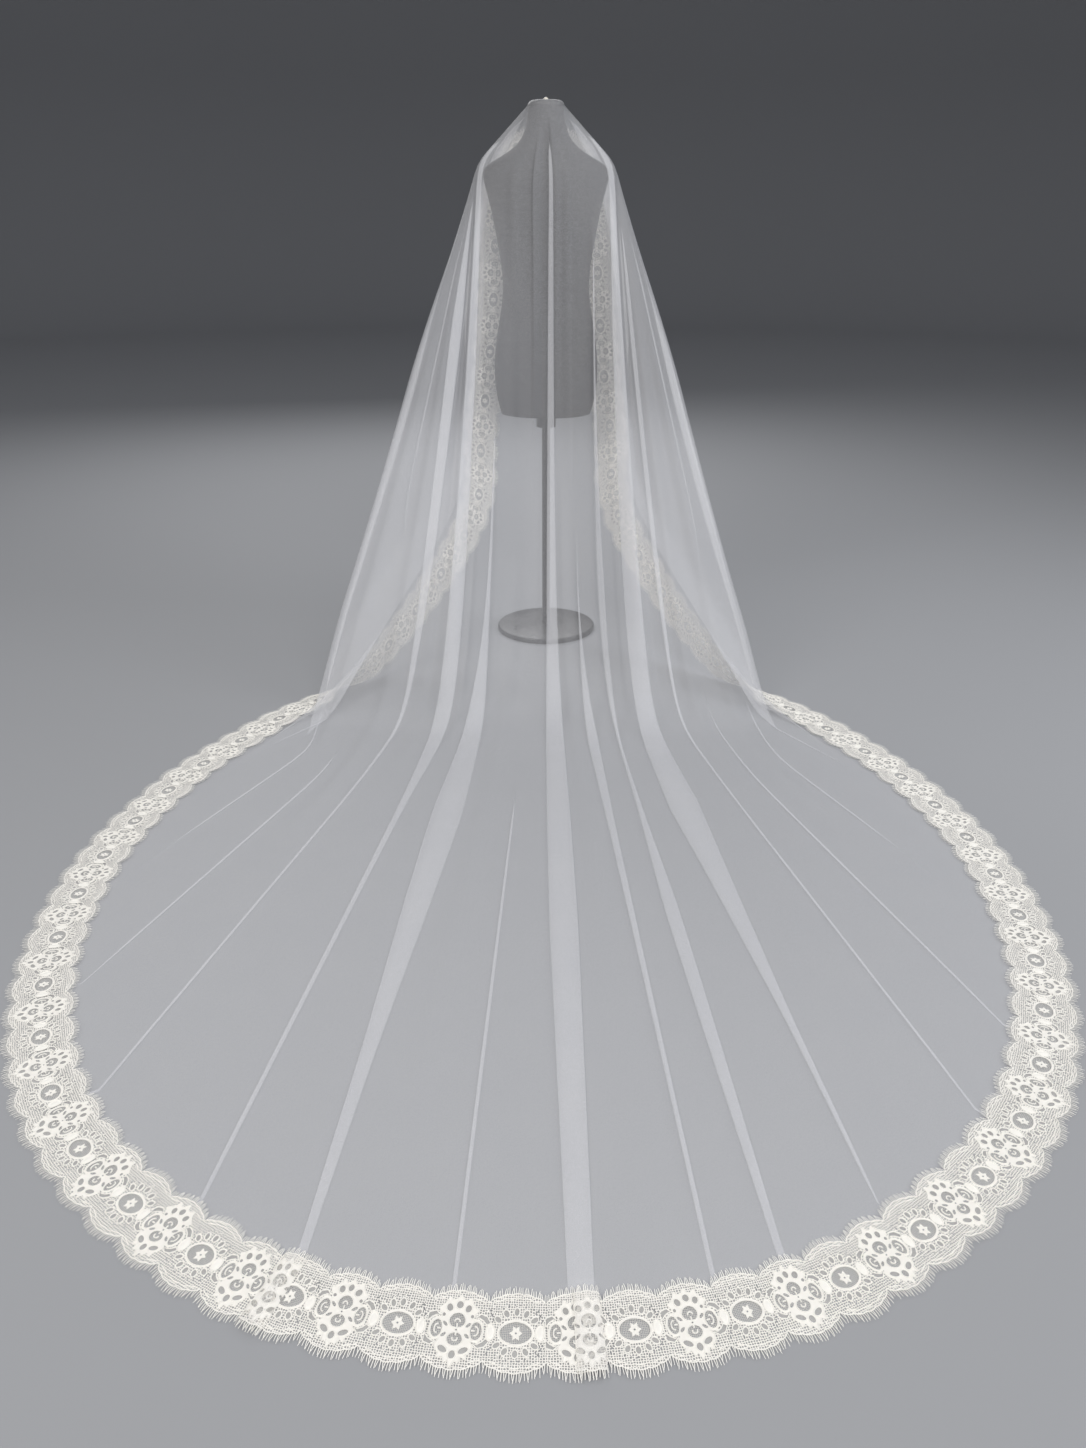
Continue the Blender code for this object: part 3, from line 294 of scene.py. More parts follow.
# The camera: focal length in pixels of a 1448 pixel high frame, its place and how far it looks down.
FRAME_HIGH, FOCAL_PIXELS = 1448, 1088.0
CAMERA_PLACE, CAMERA_DOWN = (0.0, -3.45, 1.25), 25.0
AXIS_PIXEL, MIDDLE_PIXEL = 546.0, 543.0


# ---------------------------------------------------------------- curves
def between(before, a, b, after, share):
    """The point a share of the way from a to b on a smooth curve through all four."""
    return 0.5 * (
        2 * a
        + (b - before) * share
        + (2 * before - 5 * a + 4 * b - after) * share**2
        + (3 * a - before - 3 * b + after) * share**3
    )


def catmull_rom(points, i, share):
    """The point a share of the way from points[i] to points[i + 1] on a smooth curve through them all."""
    before = points[i - 1] if i else points[0] * 2 - points[1]
    after = points[i + 2] if i + 2 < len(points) else points[-1] * 2 - points[-2]
    return between(before, points[i], points[i + 1], after, share)


def smooth_table(rows, x):
    """Reads a table of (x, value) rows smoothly."""
    i = min(max(bisect_right([row[0] for row in rows], x) - 1, 0), len(rows) - 2)
    share = (x - rows[i][0]) / (rows[i + 1][0] - rows[i][0])
    return catmull_rom([row[1] for row in rows], i, share)


def ease(x, low, high):
    """Rises smoothly from 0 at low to 1 at high, for a number or an array."""
    t = np.clip((x - low) / (high - low), 0.0, 1.0)
    return t * t * (3 - 2 * t)


class Line:
    """A polyline that is read by the distance along it."""

    def __init__(self, points):
        self.points = np.array([tuple(p) for p in points])
        steps = np.linalg.norm(np.diff(self.points, axis=0), axis=1)
        self.marks = np.concatenate([[0.0], np.cumsum(steps)])
        self.length = self.marks[-1]

    def at(self, distances):
        return np.stack([np.interp(distances, self.marks, column) for column in self.points.T], axis=-1)


def half_edge():
    """The veil's edge on the +X side, from the middle of the hem to the throat, and the way it faces."""
    knots = [(Vector(row[1:4]), Vector(row[4:])) for row in EDGE_ROWS]

    def mirrored(knot):
        return tuple(Vector((-v.x, v.y, v.z)) for v in knot)

    knots = [mirrored(knots[1])] + knots + [mirrored(knots[-2])]
    points, ways = [], []
    for i in range(1, len(knots) - 1):
        for k in range(EDGE_STEPS if i < len(knots) - 2 else 1):
            p = catmull_rom([knot[0] for knot in knots], i, k / EDGE_STEPS)
            p.z = max(p.z, 0.0)
            points.append(p)
            ways.append(knots[i][1].lerp(knots[i + 1][1], k / EDGE_STEPS))
    return Line(points), np.array([tuple(way) for way in ways])


EDGE, FACING = half_edge()
HALF = EDGE.length
RIM_SPREAD = [(edge, rim) for edge, rim, _ in SPREAD_ROWS] + [(HALF, 180.0)]
SHOULDER_SPREAD = [(edge, shoulder) for edge, _, shoulder in SPREAD_ROWS] + [(HALF, 180.0)]


def wrap(place):
    """A place on the edge, counted from the middle of the hem the shorter way round."""
    return (place + HALF) % (2 * HALF) - HALF


def unit(vectors):
    """Vectors brought to a length of 1."""
    return vectors / np.maximum(np.linalg.norm(vectors, axis=-1, keepdims=True), 1e-12)


def edge_points(places):
    """The middle of the cloth at places on the veil's edge."""
    places = wrap(places)
    points = EDGE.at(np.abs(places))
    low = 1 - ease(points[:, 2], 0.0, 0.4)
    points[:, 0] *= np.where(places < 0, -(1 + (LEFT_WIDER - 1) * low), 1.0)
    points[:, 2] += FLOOR_FILM
    return points


def border_frames(places):
    """The veil's edge at places: its points, the ways into the cloth, and the ways it faces."""
    along = unit(edge_points(places + 0.01) - edge_points(places - 0.01))
    distances = np.abs(wrap(places))
    facing = np.stack([np.interp(distances, EDGE.marks, column) for column in FACING.T], axis=-1)
    facing[:, 0] *= np.sign(wrap(places))
    facing = unit(facing - along * np.sum(facing * along, axis=1, keepdims=True))
    return edge_points(places), np.cross(facing, along), facing


# ---------------------------------------------------------------- the sheet with no folds
def spread_angle(spread, place):
    """How far round the form a ray runs, from the middle of the back."""
    return math.radians(min(180.0, max(0.0, smooth_table(spread, abs(place)))))


def around(angle, side, radius, height):
    """A point round the cap, at a height over its top."""
    return Vector((side * radius * math.sin(angle), -radius * math.cos(angle), CAP_TOP + height))


def shoulder_point(angle, side):
    """A point of the line over the back, the shoulder tips and the throat."""
    if angle <= math.pi / 2:
        depth = SHOULDER_BACK
        z = SHOULDER_BACK_Z + (SHOULDER_TIP_Z - SHOULDER_BACK_Z) * math.sin(angle) ** 2
    else:
        depth = SHOULDER_FRONT
        z = SHOULDER_TIP_Z + (THROAT_Z - SHOULDER_TIP_Z) * (1 - math.sin(angle)) ** 1.5
    return Vector((side * SHOULDER_HALF * math.sin(angle), -depth * math.cos(angle), z))


def bezier(a, b, c, d, share):
    """The point a share of the way along a curve from a to d with handles b and c."""
    rest = 1 - share
    return a * rest**3 + b * (3 * rest**2 * share) + c * (3 * rest * share**2) + d * share**3


def ray_points(place, border):
    """One ray's points, row by row, from the middle of the cap to the tulle's own edge under the lace."""
    edge, inward, _ = (Vector(part) for part in border)
    side = math.copysign(1.0, place)
    angle, rim_angle = spread_angle(SHOULDER_SPREAD, place), spread_angle(RIM_SPREAD, place)
    base = edge + inward * BORDER_DEPTH
    rim = around(rim_angle, side, CAP_RADIUS + CAP_OVER, -CAP_SOFT)
    straight = around(angle, side, CAP_RADIUS + CAP_OVER, -CAP_SOFT).lerp(base, 0.5)
    shoulder = shoulder_point(angle, side).lerp(straight, float(ease(base.z, *STRAIGHT_HEIGHTS)))
    flat = Vector((base.x - shoulder.x, base.y - shoulder.y, 0.0))
    height = base.z - FLOOR_FILM
    most = float(np.interp(abs(place), *zip(*REACH_ROWS)))
    reach = flat.length - max(0.0, flat.length - most) * (1 - float(ease(height, 0.0, REACH_HEIGHT)))
    way = math.atan2(flat.y, side * flat.x)
    way = way + (min(way, SIDE_WAY) - way) * (1 - float(ease(height, 0.0, WAY_HEIGHT)))
    landing = shoulder + Vector((side * math.cos(way), math.sin(way), 0.0)) * reach
    landing.z = base.z
    drop = shoulder.z - landing.z
    hang = math.cos(angle) ** 2 if angle < math.pi / 2 else 0.0
    settle = max(0.0, 1 - height / SETTLE_HEIGHT)
    out = Vector((landing.x - shoulder.x, landing.y - shoulder.y, 0.0))
    first = out * (FIRST_OUT + FIRST_OUT_BACK * hang)
    first.z = -drop * (FIRST_DROP + FIRST_DROP_BACK * hang)
    second = out * (SECOND_OUT + SECOND_OUT_FLOOR * settle * (1 - hang) + SECOND_OUT_BACK * hang)
    second.z = -drop * (SECOND_DROP + settle * (SECOND_DROP_FLOOR + SECOND_DROP_BACK * hang))
    handles = (shoulder, shoulder + first, shoulder + second, landing)
    fall = [bezier(*handles, k / FALL_STEPS) for k in range(FALL_STEPS + 1)]
    tail = [] if (base - landing).length < 1e-6 else [base]
    line = Line([rim] + fall + tail + [edge + inward * TULLE_INSET])
    strip = BORDER_DEPTH - TULLE_INSET
    last = line.length - strip
    start = min((shoulder - rim).length, NECK_SHARE * last)
    landed = (shoulder - rim).length + Line(fall).length
    landed = min(landed, max(start + FALL_SHARE * (last - start), last - FLOOR_LENGTH))
    marks = np.concatenate([
        np.linspace(0.0, start, NECK_ROWS, endpoint=False),
        np.linspace(start, landed, FALL_ROWS, endpoint=False),
        np.linspace(landed, last, FLOOR_ROWS, endpoint=False),
        np.linspace(last, line.length, STRIP_ROWS),
    ])
    rings = [around(rim_angle, side, radius, rise + SEAM + TULLE / 2) for radius, rise in CAP_RINGS]
    return np.vstack([[tuple(p) for p in rings], line.at(marks)])


def row_stages():
    """The stage of every row: below -1 on the cap, -1 at its rim, 0, 1 and 2 on the way down and out."""
    return np.concatenate([
        np.linspace(*CAP_STAGES, len(CAP_RINGS)),
        np.linspace(-1.0, 0.0, NECK_ROWS, endpoint=False),
        np.linspace(0.0, 1.0, FALL_ROWS, endpoint=False),
        np.linspace(1.0, 2.0, FLOOR_ROWS, endpoint=False),
        np.linspace(*STRIP_STAGES, STRIP_ROWS),
    ])


STAGES = row_stages()
ROWS = len(STAGES)


class Sheet:
    """The tulle with no folds in it, read smoothly between its rays."""

    def __init__(self):
        self.step = 2 * HALF / RAYS
        places = -HALF + self.step * np.arange(RAYS)
        borders = zip(*border_frames(places))
        points = np.array([ray_points(place, border) for place, border in zip(places, borders)])
        points = self.soften(self.flare(self.relax(points, places), places))
        across = np.roll(points, -1, axis=0) - np.roll(points, 1, axis=0)
        along = np.gradient(points, axis=1)
        self.points = points
        self.normals = unit(np.cross(unit(along), unit(across)))
        self.scale = np.linalg.norm(across, axis=-1, keepdims=True) / (2 * self.step)

    @staticmethod
    def relax(points, places):
        """Evens out the sheet where the border turns from lying to hanging."""
        start, full, fade, end = RELAX_PLACES
        give = 0.5 * ease(np.abs(places), start, full) * (1 - ease(np.abs(places), fade, end))
        rows = ((STAGES > 0.0) & (STAGES < 2.0)).astype(float)
        weight = give[:, None, None] * rows[None, :, None]
        for _ in range(RELAX_PASSES):
            middle = (np.roll(points, 1, axis=0) + np.roll(points, -1, axis=0)) / 2
            points = points + (middle - points) * weight
        return points

    @staticmethod
    def flare(points, places):
        """Spreads the sides of the fall, so that they run straight from the shoulders to the floor."""
        start, full, fade, end = FLARE_PLACES
        rises, spread, closes, closed = FLARE_STAGES
        away = ease(np.abs(places), start, full) * (1 - ease(np.abs(places), fade, end))
        down = np.clip((STAGES - rises) / (spread - rises), 0, 1) * (1 - ease(STAGES, closes, closed))
        most = np.where(places < 0, -FLARE_LEFT, FLARE_RIGHT)
        points[:, :, 0] += (away * most)[:, None] * down[None, :]
        return points

    @staticmethod
    def soften(points):
        """Rounds the bends of the rays: a little over the shoulders, more where they land."""
        for number in range(SOFTEN_PASSES):
            low, high = SHOULDER_STAGES if number < SHOULDER_PASSES else SOFTEN_STAGES
            weight = np.where((STAGES > low) & (STAGES < high), 0.5, 0.0)
            middle = points.copy()
            middle[:, 1:-1] = (points[:, :-2] + points[:, 2:]) / 2
            points = points + (middle - points) * weight[None, :, None]
        points[:, :, 2] = np.maximum(points[:, :, 2], FLOOR_FILM)
        return points

    def read(self, table, place):
        """A table of the sheet at places, one for each row and line."""
        t = (place + HALF) / self.step
        k = np.floor(t).astype(int)
        share = (t - k)[..., None]
        rows = np.arange(ROWS)[:, None]
        return between(*(table[(k + n) % RAYS, rows] for n in (-1, 0, 1, 2)), share)


# ---------------------------------------------------------------- folds and swells
def fold_section(half, layer):
    """A fold across the ray: (out of its middle, height) of each of its lines, for every row."""
    third, turn, zero = half * 0.33, layer / 2, np.zeros_like(half)
    bend = half + turn * FOLD_BEND
    under = [(-half, zero), (-third, zero), (third, zero), (half, zero), (bend, turn)]
    back = [(half, layer), (third, layer), (-third, layer), (-half, layer), (-bend, layer + turn)]
    over = [(-half, layer * 2), (-third, layer * 2), (third, layer * 2), (half, layer * 2)]
    out, up = FOLD_SIDE_POINT
    down = [(half + FOLD_SIDE * out, layer * up), (half + FOLD_SIDE, zero)]
    return under + back + over + down


class Fold:
    """The lines of one fold: their places and lifts, row by row."""

    def __init__(self, sheet, place, widths, room):
        self.place = place
        width = np.interp(STAGES, FOLD_STAGES, np.array(widths) / 1000, left=0.0)
        for _ in range(FOLD_PASSES):
            width[1:-1] = (width[:-2] + 2 * width[1:-1] + width[2:]) / 4
        scale = sheet.read(sheet.scale, np.full((ROWS, 1), place))[:, 0, 0]
        half = np.minimum(width / 2, np.maximum(room * scale - FOLD_SIDE, 0.0))
        opened = ease(half * 2, *FOLD_OPEN)
        layer = LAYER_HANGING + (LAYER_FLOOR - LAYER_HANGING) * ease(STAGES, *LAYER_LANDS)
        layer = layer * opened
        section = fold_section(half, layer)
        if place > 0:
            section = [(-x, lift) for x, lift in reversed(section)]
        own = np.linspace(-FOLD_OWN, FOLD_OWN, len(section))
        self.places = [
            place + (1 - opened) * own_place + opened * x / scale for own_place, (x, _) in zip(own, section)
        ]
        self.lifts = [lift * opened for _, lift in section]


def plain_spacing(place):
    """From one line of the shell to the next, between the folds."""
    return [spacing for start, spacing in PLAIN_SPACING if abs(wrap(place)) >= start][-1]


def sheet_lines(sheet):
    """Every line of the shell in order round the veil: its places and its lifts, row by row."""
    spots = [row[1] for row in FOLD_ROWS]
    folds = []
    for i, (_, place, *widths) in enumerate(FOLD_ROWS):
        gaps = [(place - spots[i - 1]) % (2 * HALF), (spots[(i + 1) % len(spots)] - place) % (2 * HALF)]
        folds.append(Fold(sheet, place, widths, FOLD_ROOM * min(gaps)))
    places, lifts = [], []
    for i, fold in enumerate(folds):
        places += fold.places
        lifts += fold.lifts
        after = folds[(i + 1) % len(folds)]
        turn = 2 * HALF if i + 1 == len(folds) else 0.0
        low, high = fold.place + FOLD_OWN, after.place - FOLD_OWN + turn
        own = [low]
        while own[-1] < high:
            own.append(own[-1] + plain_spacing(own[-1]))
        start, end = fold.places[-1], after.places[0] + turn
        for k in range(1, len(own) - 1):
            places.append(start + (end - start) * k / (len(own) - 1))
            lifts.append(np.zeros(ROWS))
    return np.array(places).T, np.array(lifts).T


def swells(place, scale):
    """How far the soft troughs and ridges lift the cloth, for every row and line."""
    stages = STAGES[:, None]
    lift = np.zeros_like(place)
    for above, below, begins, ends, height, half_width in SWELL_ROWS:
        middle = above + (below - above) * np.clip(stages / 2, 0, 1)
        away = ((place - middle + HALF) % (2 * HALF) - HALF) * scale * 1000 / half_width
        shape = np.exp(-np.where(away < 0, (away * SWELL_STEEP) ** 2, (away * SWELL_GENTLE) ** 2))
        window = ease(stages, begins, begins + SWELL_SOFT) * (1 - ease(stages, ends - SWELL_SOFT, ends))
        lift += SWELL_LIFT * height / 1000 * shape * window
    floor = ease(stages, *SWELL_LANDS)
    return np.where(floor > 0, lift * (1 - floor) + np.abs(lift) * SWELL_ON_FLOOR * floor, lift)


def tulle_points():
    """The shell's points, one for each line and row."""
    sheet = Sheet()
    place, lift = sheet_lines(sheet)
    scale = sheet.read(sheet.scale, place)[..., 0]
    points = sheet.read(sheet.points, place)
    normals = unit(sheet.read(sheet.normals, place))
    kept = 1 - ease(STAGES, *CALM_STAGES)[:, None]
    lift = lift * (FOLD_AT_BORDER + (1 - FOLD_AT_BORDER) * kept) + swells(place, scale) * kept
    points = points + normals * lift[..., None]
    points[..., 2] = np.maximum(points[..., 2], LOWEST)
    return points.transpose(1, 0, 2)


# ---------------------------------------------------------------- meshes
def placed(name, data):
    """A mesh, a light or a camera made an object of the scene."""
    made = bpy.data.objects.new(name, data)
    bpy.context.scene.collection.objects.link(made)
    return made


def cloth_piece(name, points, faces, finishes, uvs=None, zones=None):
    """Cloth from its points and faces, with a UV pair for each point and a finish for each face."""
    mesh = bpy.data.meshes.new(name)
    mesh.from_pydata([tuple(p) for p in points], [], [tuple(face) for face in faces])
    for finish in finishes:
        mesh.materials.append(finish)
    if zones is not None:
        mesh.polygons.foreach_set("material_index", np.array(zones, dtype=np.int32))
    if uvs is not None:
        layer = mesh.uv_layers.new(name="UVMap")
        corners = np.zeros(len(mesh.loops), dtype=np.int32)
        mesh.loops.foreach_get("vertex_index", corners)
        layer.data.foreach_set("uv", np.array(uvs, dtype=np.float32)[corners].ravel())
    mesh.shade_smooth()
    mesh.update()
    return placed(name, mesh)


def dress(piece, slot, *nodes):
    """The piece rides on the one body and stands for its nodes, whose parts are hidden. Its slot is not
    used.
    """
    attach(piece, "root")
    if nodes:
        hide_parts(*nodes)
    return piece


def make_tulle(finish):
    """The whole veil's tulle; its UV map runs in metres round the veil and down the rays."""
    points = tulle_points()
    lines, rows = points.shape[:2]
    steps = np.linalg.norm(np.diff(points, axis=1), axis=2)
    down = np.concatenate([np.zeros((lines, 1)), np.cumsum(steps, axis=1)], axis=1)
    widths = np.linalg.norm(np.roll(points, -1, axis=0) - points, axis=2)[:, -ROUND_ROW]
    round_edge = np.concatenate([[0.0], np.cumsum(widths)[:-1]])
    uvs = np.stack([np.repeat(round_edge[:, None], rows, axis=1), down], axis=-1).reshape(-1, 2)
    faces = []
    for i in range(lines):
        n = (i + 1) % lines
        faces += [(i * rows + j, i * rows + j + 1, n * rows + j + 1, n * rows + j) for j in range(rows - 1)]
    piece = cloth_piece("veil_tulle", points.reshape(-1, 3), faces, [finish], uvs)
    return dress(piece, "tulle", "tulle")


# ---------------------------------------------------------------- lace, drawn flat
CELL = 2 * HALF / LACE_CELLS
ROSETTE_X, EYE_X = CELL * 0.25, CELL * 0.75
SPECKLE, HONEYCOMB, SOFT_NET, SOLID, HOLE = range(5)


def oval(x, y, half_x, half_y, sides, turn=0.0):
    """A closed loop of flat points: an oval, turned about its middle."""
    c, s = math.cos(math.radians(turn)), math.sin(math.radians(turn))
    loop = []
    for k in range(sides):
        angle = 2 * math.pi * k / sides
        u, v = half_x * math.cos(angle), half_y * math.sin(angle)
        loop.append((x + u * c - v * s, y + u * s + v * c))
    return loop


def star(x, y, points, outer, inner):
    """A closed loop of flat points: a star with that many points."""
    loop = []
    for k in range(points * 2):
        angle = math.pi * k / points
        reach = inner if k % 2 else outer
        loop.append((x + reach * math.cos(angle), y + reach * math.sin(angle)))
    return loop


def in_motif(x, loop, sides=(1, -1)):
    """Places loops drawn in millimetres round a motif's middle, mirrored left to right."""
    return [[(x + u * side / 1000, MIDDLE + v / 1000) for u, v in loop] for side in sides]


ROSETTE_HALF = (
    # the rosette's outline from its top point down the right side, in millimetres
    (0, 47), (4, 39.5), (9, 38.5), (15.5, 43), (17, 36), (21, 31), (27.5, 26.5), (22.5, 20), (21, 14.5),
    (28, 15), (33.5, 9.5), (35.5, 0), (33.5, -9.5), (28, -15), (20.5, -14.5), (24, -20), (22, -27),
    (17.5, -31.5), (18.5, -38.5), (11.5, -35), (8.5, -43.5), (4, -40), (0, -50),
)
SIDE_FIELD = (
    # the field in the crook beside a side petal, in millimetres
    (23.5, 17.0), (30.0, 22.5), (38.0, 20.0), (43.5, 12.0), (38.5, 9.0), (34.0, 14.0), (28.5, 17.2),
)

# The netted eye with its flower, then the lobes and the dots round it: half sizes in metres.
EYE_HALF, EYE_NET_HALF, EYE_HOLE_HALF = (0.0240, 0.0182), (0.0212, 0.0154), (0.0013, 0.0013)
FLOWER_OUTER, FLOWER_INNER, FLOWER_TALL = 0.0088, 0.0052, 1.25
PETAL_RING, PETAL_HALF = (0.0052, 0.0064), (0.0030, 0.0019)
SEED_RING, SEED_HALF = 0.0034, (0.0024, 0.0015)  # the four seeds in a rosette's middle
LOBE_RING, LOBE_HALF, LOBE_DEGREES = (0.0300, 0.0272), (0.0058, 0.0041), (38, 64, 90, 116, 142)
DOT_RING, DOT_STEP = (0.0345, 0.0368), 13
DOT_DEGREES, STITCH_DEGREES = (30, 160), (36, 150)
DOT_HOLE, DOT_STITCH = 0.0011, 0.0010

# The solid links between the motifs: where along one repeat, and the holes about each.
LINKS = (0.0826, 0.1460)
LINK_HALF, LINK_DOME_HALF, LINK_HOLE_HALF = (0.0062, 0.0102), (0.0048, 0.0084), (0.0013, 0.0016)
LINK_HOLES = ((-0.0030, 0.0150), (0.0032, 0.0164), (0.0002, 0.0222), (-0.0022, 0.0280))


def rosette_outline():
    """The rosette's outline over both halves."""
    right = [(ROSETTE_X + x / 1000, MIDDLE + y / 1000) for x, y in ROSETTE_HALF]
    left = [(2 * ROSETTE_X - x, y) for x, y in right[-2:0:-1]]
    return right + left


def scallop(valley, peak, share):
    """How far in the lace's own edge lies, a share of the way along one scallop of small lobes."""
    lobe = LOBE_DEPTH * abs(math.sin(math.pi * LOBES * share)) ** LOBE_ROUND
    main = (peak - valley) * abs(math.sin(math.pi * share)) ** SCALLOP_ROUND
    return valley + main + math.copysign(lobe, peak - valley)


def edge_line(valley, peak, inward=0.0):
    """The lace's own edge over one repeat, two scallops long."""
    steps = SCALLOP_STEPS * 2
    return [(CELL * k / steps, scallop(valley, peak, 2 * k / steps) + inward) for k in range(steps + 1)]


def rosette_loops():
    """The rosette: four netted petals, leaves between them and rings of small netted ovals."""
    loops = [(SOLID, rosette_outline(), True)]
    mirrored = (
        # zone       x     y     half sizes  sides turn corded
        (HONEYCOMB, 25.8, 0.0, 8.0, 12.8, 18, 0, True),
        (HONEYCOMB, 15.0, 7.2, 2.1, 4.4, 8, -48, False),
        (HONEYCOMB, 15.0, -7.4, 2.1, 4.4, 8, 48, False),
        (SOFT_NET, 12.4, 28.0, 4.9, 5.8, 12, -25, True),
        (SOFT_NET, 19.0, 18.6, 2.3, 2.3, 7, 0, False),
        (SOFT_NET, 13.0, -26.4, 7.4, 4.6, 12, 32, True),
    )
    for zone, x, y, half_x, half_y, sides, turn, corded in mirrored:
        petal = oval(x, y, half_x, half_y, sides, turn)
        loops += [(zone, loop, corded) for loop in in_motif(ROSETTE_X, petal)]
    single = (
        (HONEYCOMB, 12.2, 10.8, 10.2, 20, True),
        (HONEYCOMB, -12.4, 10.2, 9.4, 20, True),
        (SOFT_NET, 32.4, 5.0, 5.8, 12, True),
        (SOFT_NET, -32.6, 4.8, 6.2, 12, True),
        (HOLE, 0.0, 1.2, 1.2, 6, False),
    )
    for zone, y, half_x, half_y, sides, corded in single:
        petal = oval(0, y, half_x, half_y, sides)
        loops += [(zone, loop, corded) for loop in in_motif(ROSETTE_X, petal, (1,))]
    for up in (1, -1):
        field = [(x, y * up) for x, y in SIDE_FIELD]
        loops += [(SOFT_NET, loop, True) for loop in in_motif(ROSETTE_X, field)]
    return loops


def ringed(x, ring, degrees, up=1):
    """A flat point on an oval ring round a motif's middle."""
    angle = math.radians(degrees)
    return x + ring[0] * math.cos(angle), MIDDLE + up * ring[1] * math.sin(angle)


def eye_loops():
    """A netted eye with a star flower in it, lobes and dots round it."""
    flower = star(EYE_X, MIDDLE, 6, FLOWER_OUTER, FLOWER_INNER)
    loops = [
        (SOLID, oval(EYE_X, MIDDLE, *EYE_HALF, 26), False),
        (HONEYCOMB, oval(EYE_X, MIDDLE, *EYE_NET_HALF, 26), True),
        (SOLID, [(x, MIDDLE + (y - MIDDLE) * FLOWER_TALL) for x, y in flower], False),
        (HOLE, oval(EYE_X, MIDDLE, *EYE_HOLE_HALF, 6), False),
    ]
    for up in (1, -1):
        for degrees in LOBE_DEGREES:
            lobe = oval(*ringed(EYE_X, LOBE_RING, degrees, up), *LOBE_HALF, 9, up * degrees)
            loops.append((SOFT_NET, lobe, True))
        for degrees in range(*DOT_DEGREES, DOT_STEP):
            dot = oval(*ringed(EYE_X, DOT_RING, degrees, up), DOT_HOLE, DOT_HOLE, 6)
            loops.append((HOLE, dot, False))
    return loops


def lace_loops():
    """The closed loops of one repeat: (zone inside it, points, whether a cord runs round it)."""
    loops = rosette_loops() + eye_loops()
    for x in LINKS:
        loops.append((SOLID, oval(x, MIDDLE, *LINK_HALF, 14), True))
        for up in (1, -1):
            for along, across in LINK_HOLES:
                hole = oval(x + along, MIDDLE + up * across, *LINK_HOLE_HALF, 6)
                loops.append((HOLE, hole, False))
    return loops


def inside(point, loop):
    """Whether a flat point lies inside a closed loop."""
    x, y = point
    crossings = 0
    for (x0, y0), (x1, y1) in zip(loop, loop[1:] + loop[:1]):
        if (y0 > y) != (y1 > y) and x < x0 + (y - y0) / (y1 - y0) * (x1 - x0):
            crossings += 1
    return crossings % 2 == 1


def lace_cloth_flat():
    """One repeat's cloth: flat points, triangles and the zone of each."""
    outer, inner = edge_line(OUTER_VALLEY, OUTER_PEAK), edge_line(INNER_VALLEY, INNER_PEAK)
    outline = outer + inner[::-1]
    loops = lace_loops()
    points, edges = [], []
    for loop in [outline] + [loop for _, loop, _ in loops]:
        first = len(points)
        points += [Vector(p) for p in loop]
        edges += [(first + k, first + (k + 1) % len(loop)) for k in range(len(loop))]
    corners, _, triangles, *_ = delaunay_2d_cdt(points, edges, [], 0, 1e-7)
    kept, zones = [], []
    for triangle in triangles:
        centre = sum((corners[i] for i in triangle), Vector((0, 0))) / 3
        if not inside(centre, outline) and not inside(centre, loops[0][1]):
            continue
        found = [zone for zone, loop, _ in loops if inside(centre, loop)]
        zone = found[-1] if found else SPECKLE
        if zone != HOLE:
            kept.append(tuple(triangle))
            zones.append(zone)
    return np.array([tuple(p) for p in corners]), kept, zones


def cord_flat(loop, width, height, closed=True):
    """A raised cord along a flat line: points (along, inset, height) and faces."""
    line = np.array(loop)
    if closed:
        ways = np.roll(line, -1, axis=0) - np.roll(line, 1, axis=0)
    else:
        ways = np.gradient(line, axis=0)
    ways = unit(ways)
    side = np.stack([-ways[:, 1], ways[:, 0]], axis=-1)
    section = ((-0.5, 0.0), (-0.28, 1.0), (0.28, 1.0), (0.5, 0.0))
    points = []
    for p, s in zip(line, side):
        points += [(*(p + s * width * x), height * z) for x, z in section]
    count, n = len(line), len(section)
    faces = []
    for i in range(count if closed else count - 1):
        m = (i + 1) % count
        faces += [(i * n + j, m * n + j, m * n + j + 1, i * n + j + 1) for j in range(n - 1)]
    return points, faces


def dome_flat(loop, height):
    """A low dome over a flat loop."""
    middle = np.mean(np.array(loop), axis=0)
    out, up = DOME_SHOULDER
    points = [(*p, 0.0) for p in loop]
    points += [(*(middle + (np.array(p) - middle) * out), height * up) for p in loop]
    points.append((*middle, height))
    n = len(loop)
    faces = []
    for k in range(n):
        m = (k + 1) % n
        faces.append((k, m, n + m, n + k))
        faces.append((n + k, n + m, 2 * n))
    return points, faces


def lash_flat(x, y, way, length, lean):
    """One lash of the fringe: a thin strip that leaves the edge, leans over and curls up a little."""
    points, faces = [], []
    for k in range(LASH_STEPS + 1):
        share = k / LASH_STEPS
        width = FRINGE_WIDTH * (1 - LASH_TAPER * share)
        along = x + lean * share**LASH_BOW
        inset = y + way * length * share
        rise = LASH_FOOT + LASH_ARCH * share * (1 - share) * 2
        points += [(along - width / 2, inset, rise), (along + width / 2, inset, rise)]
    for k in range(LASH_STEPS):
        face = (2 * k, 2 * k + 1, 2 * k + 3, 2 * k + 2)
        faces.append(face if way > 0 else face[::-1])
    return points, faces


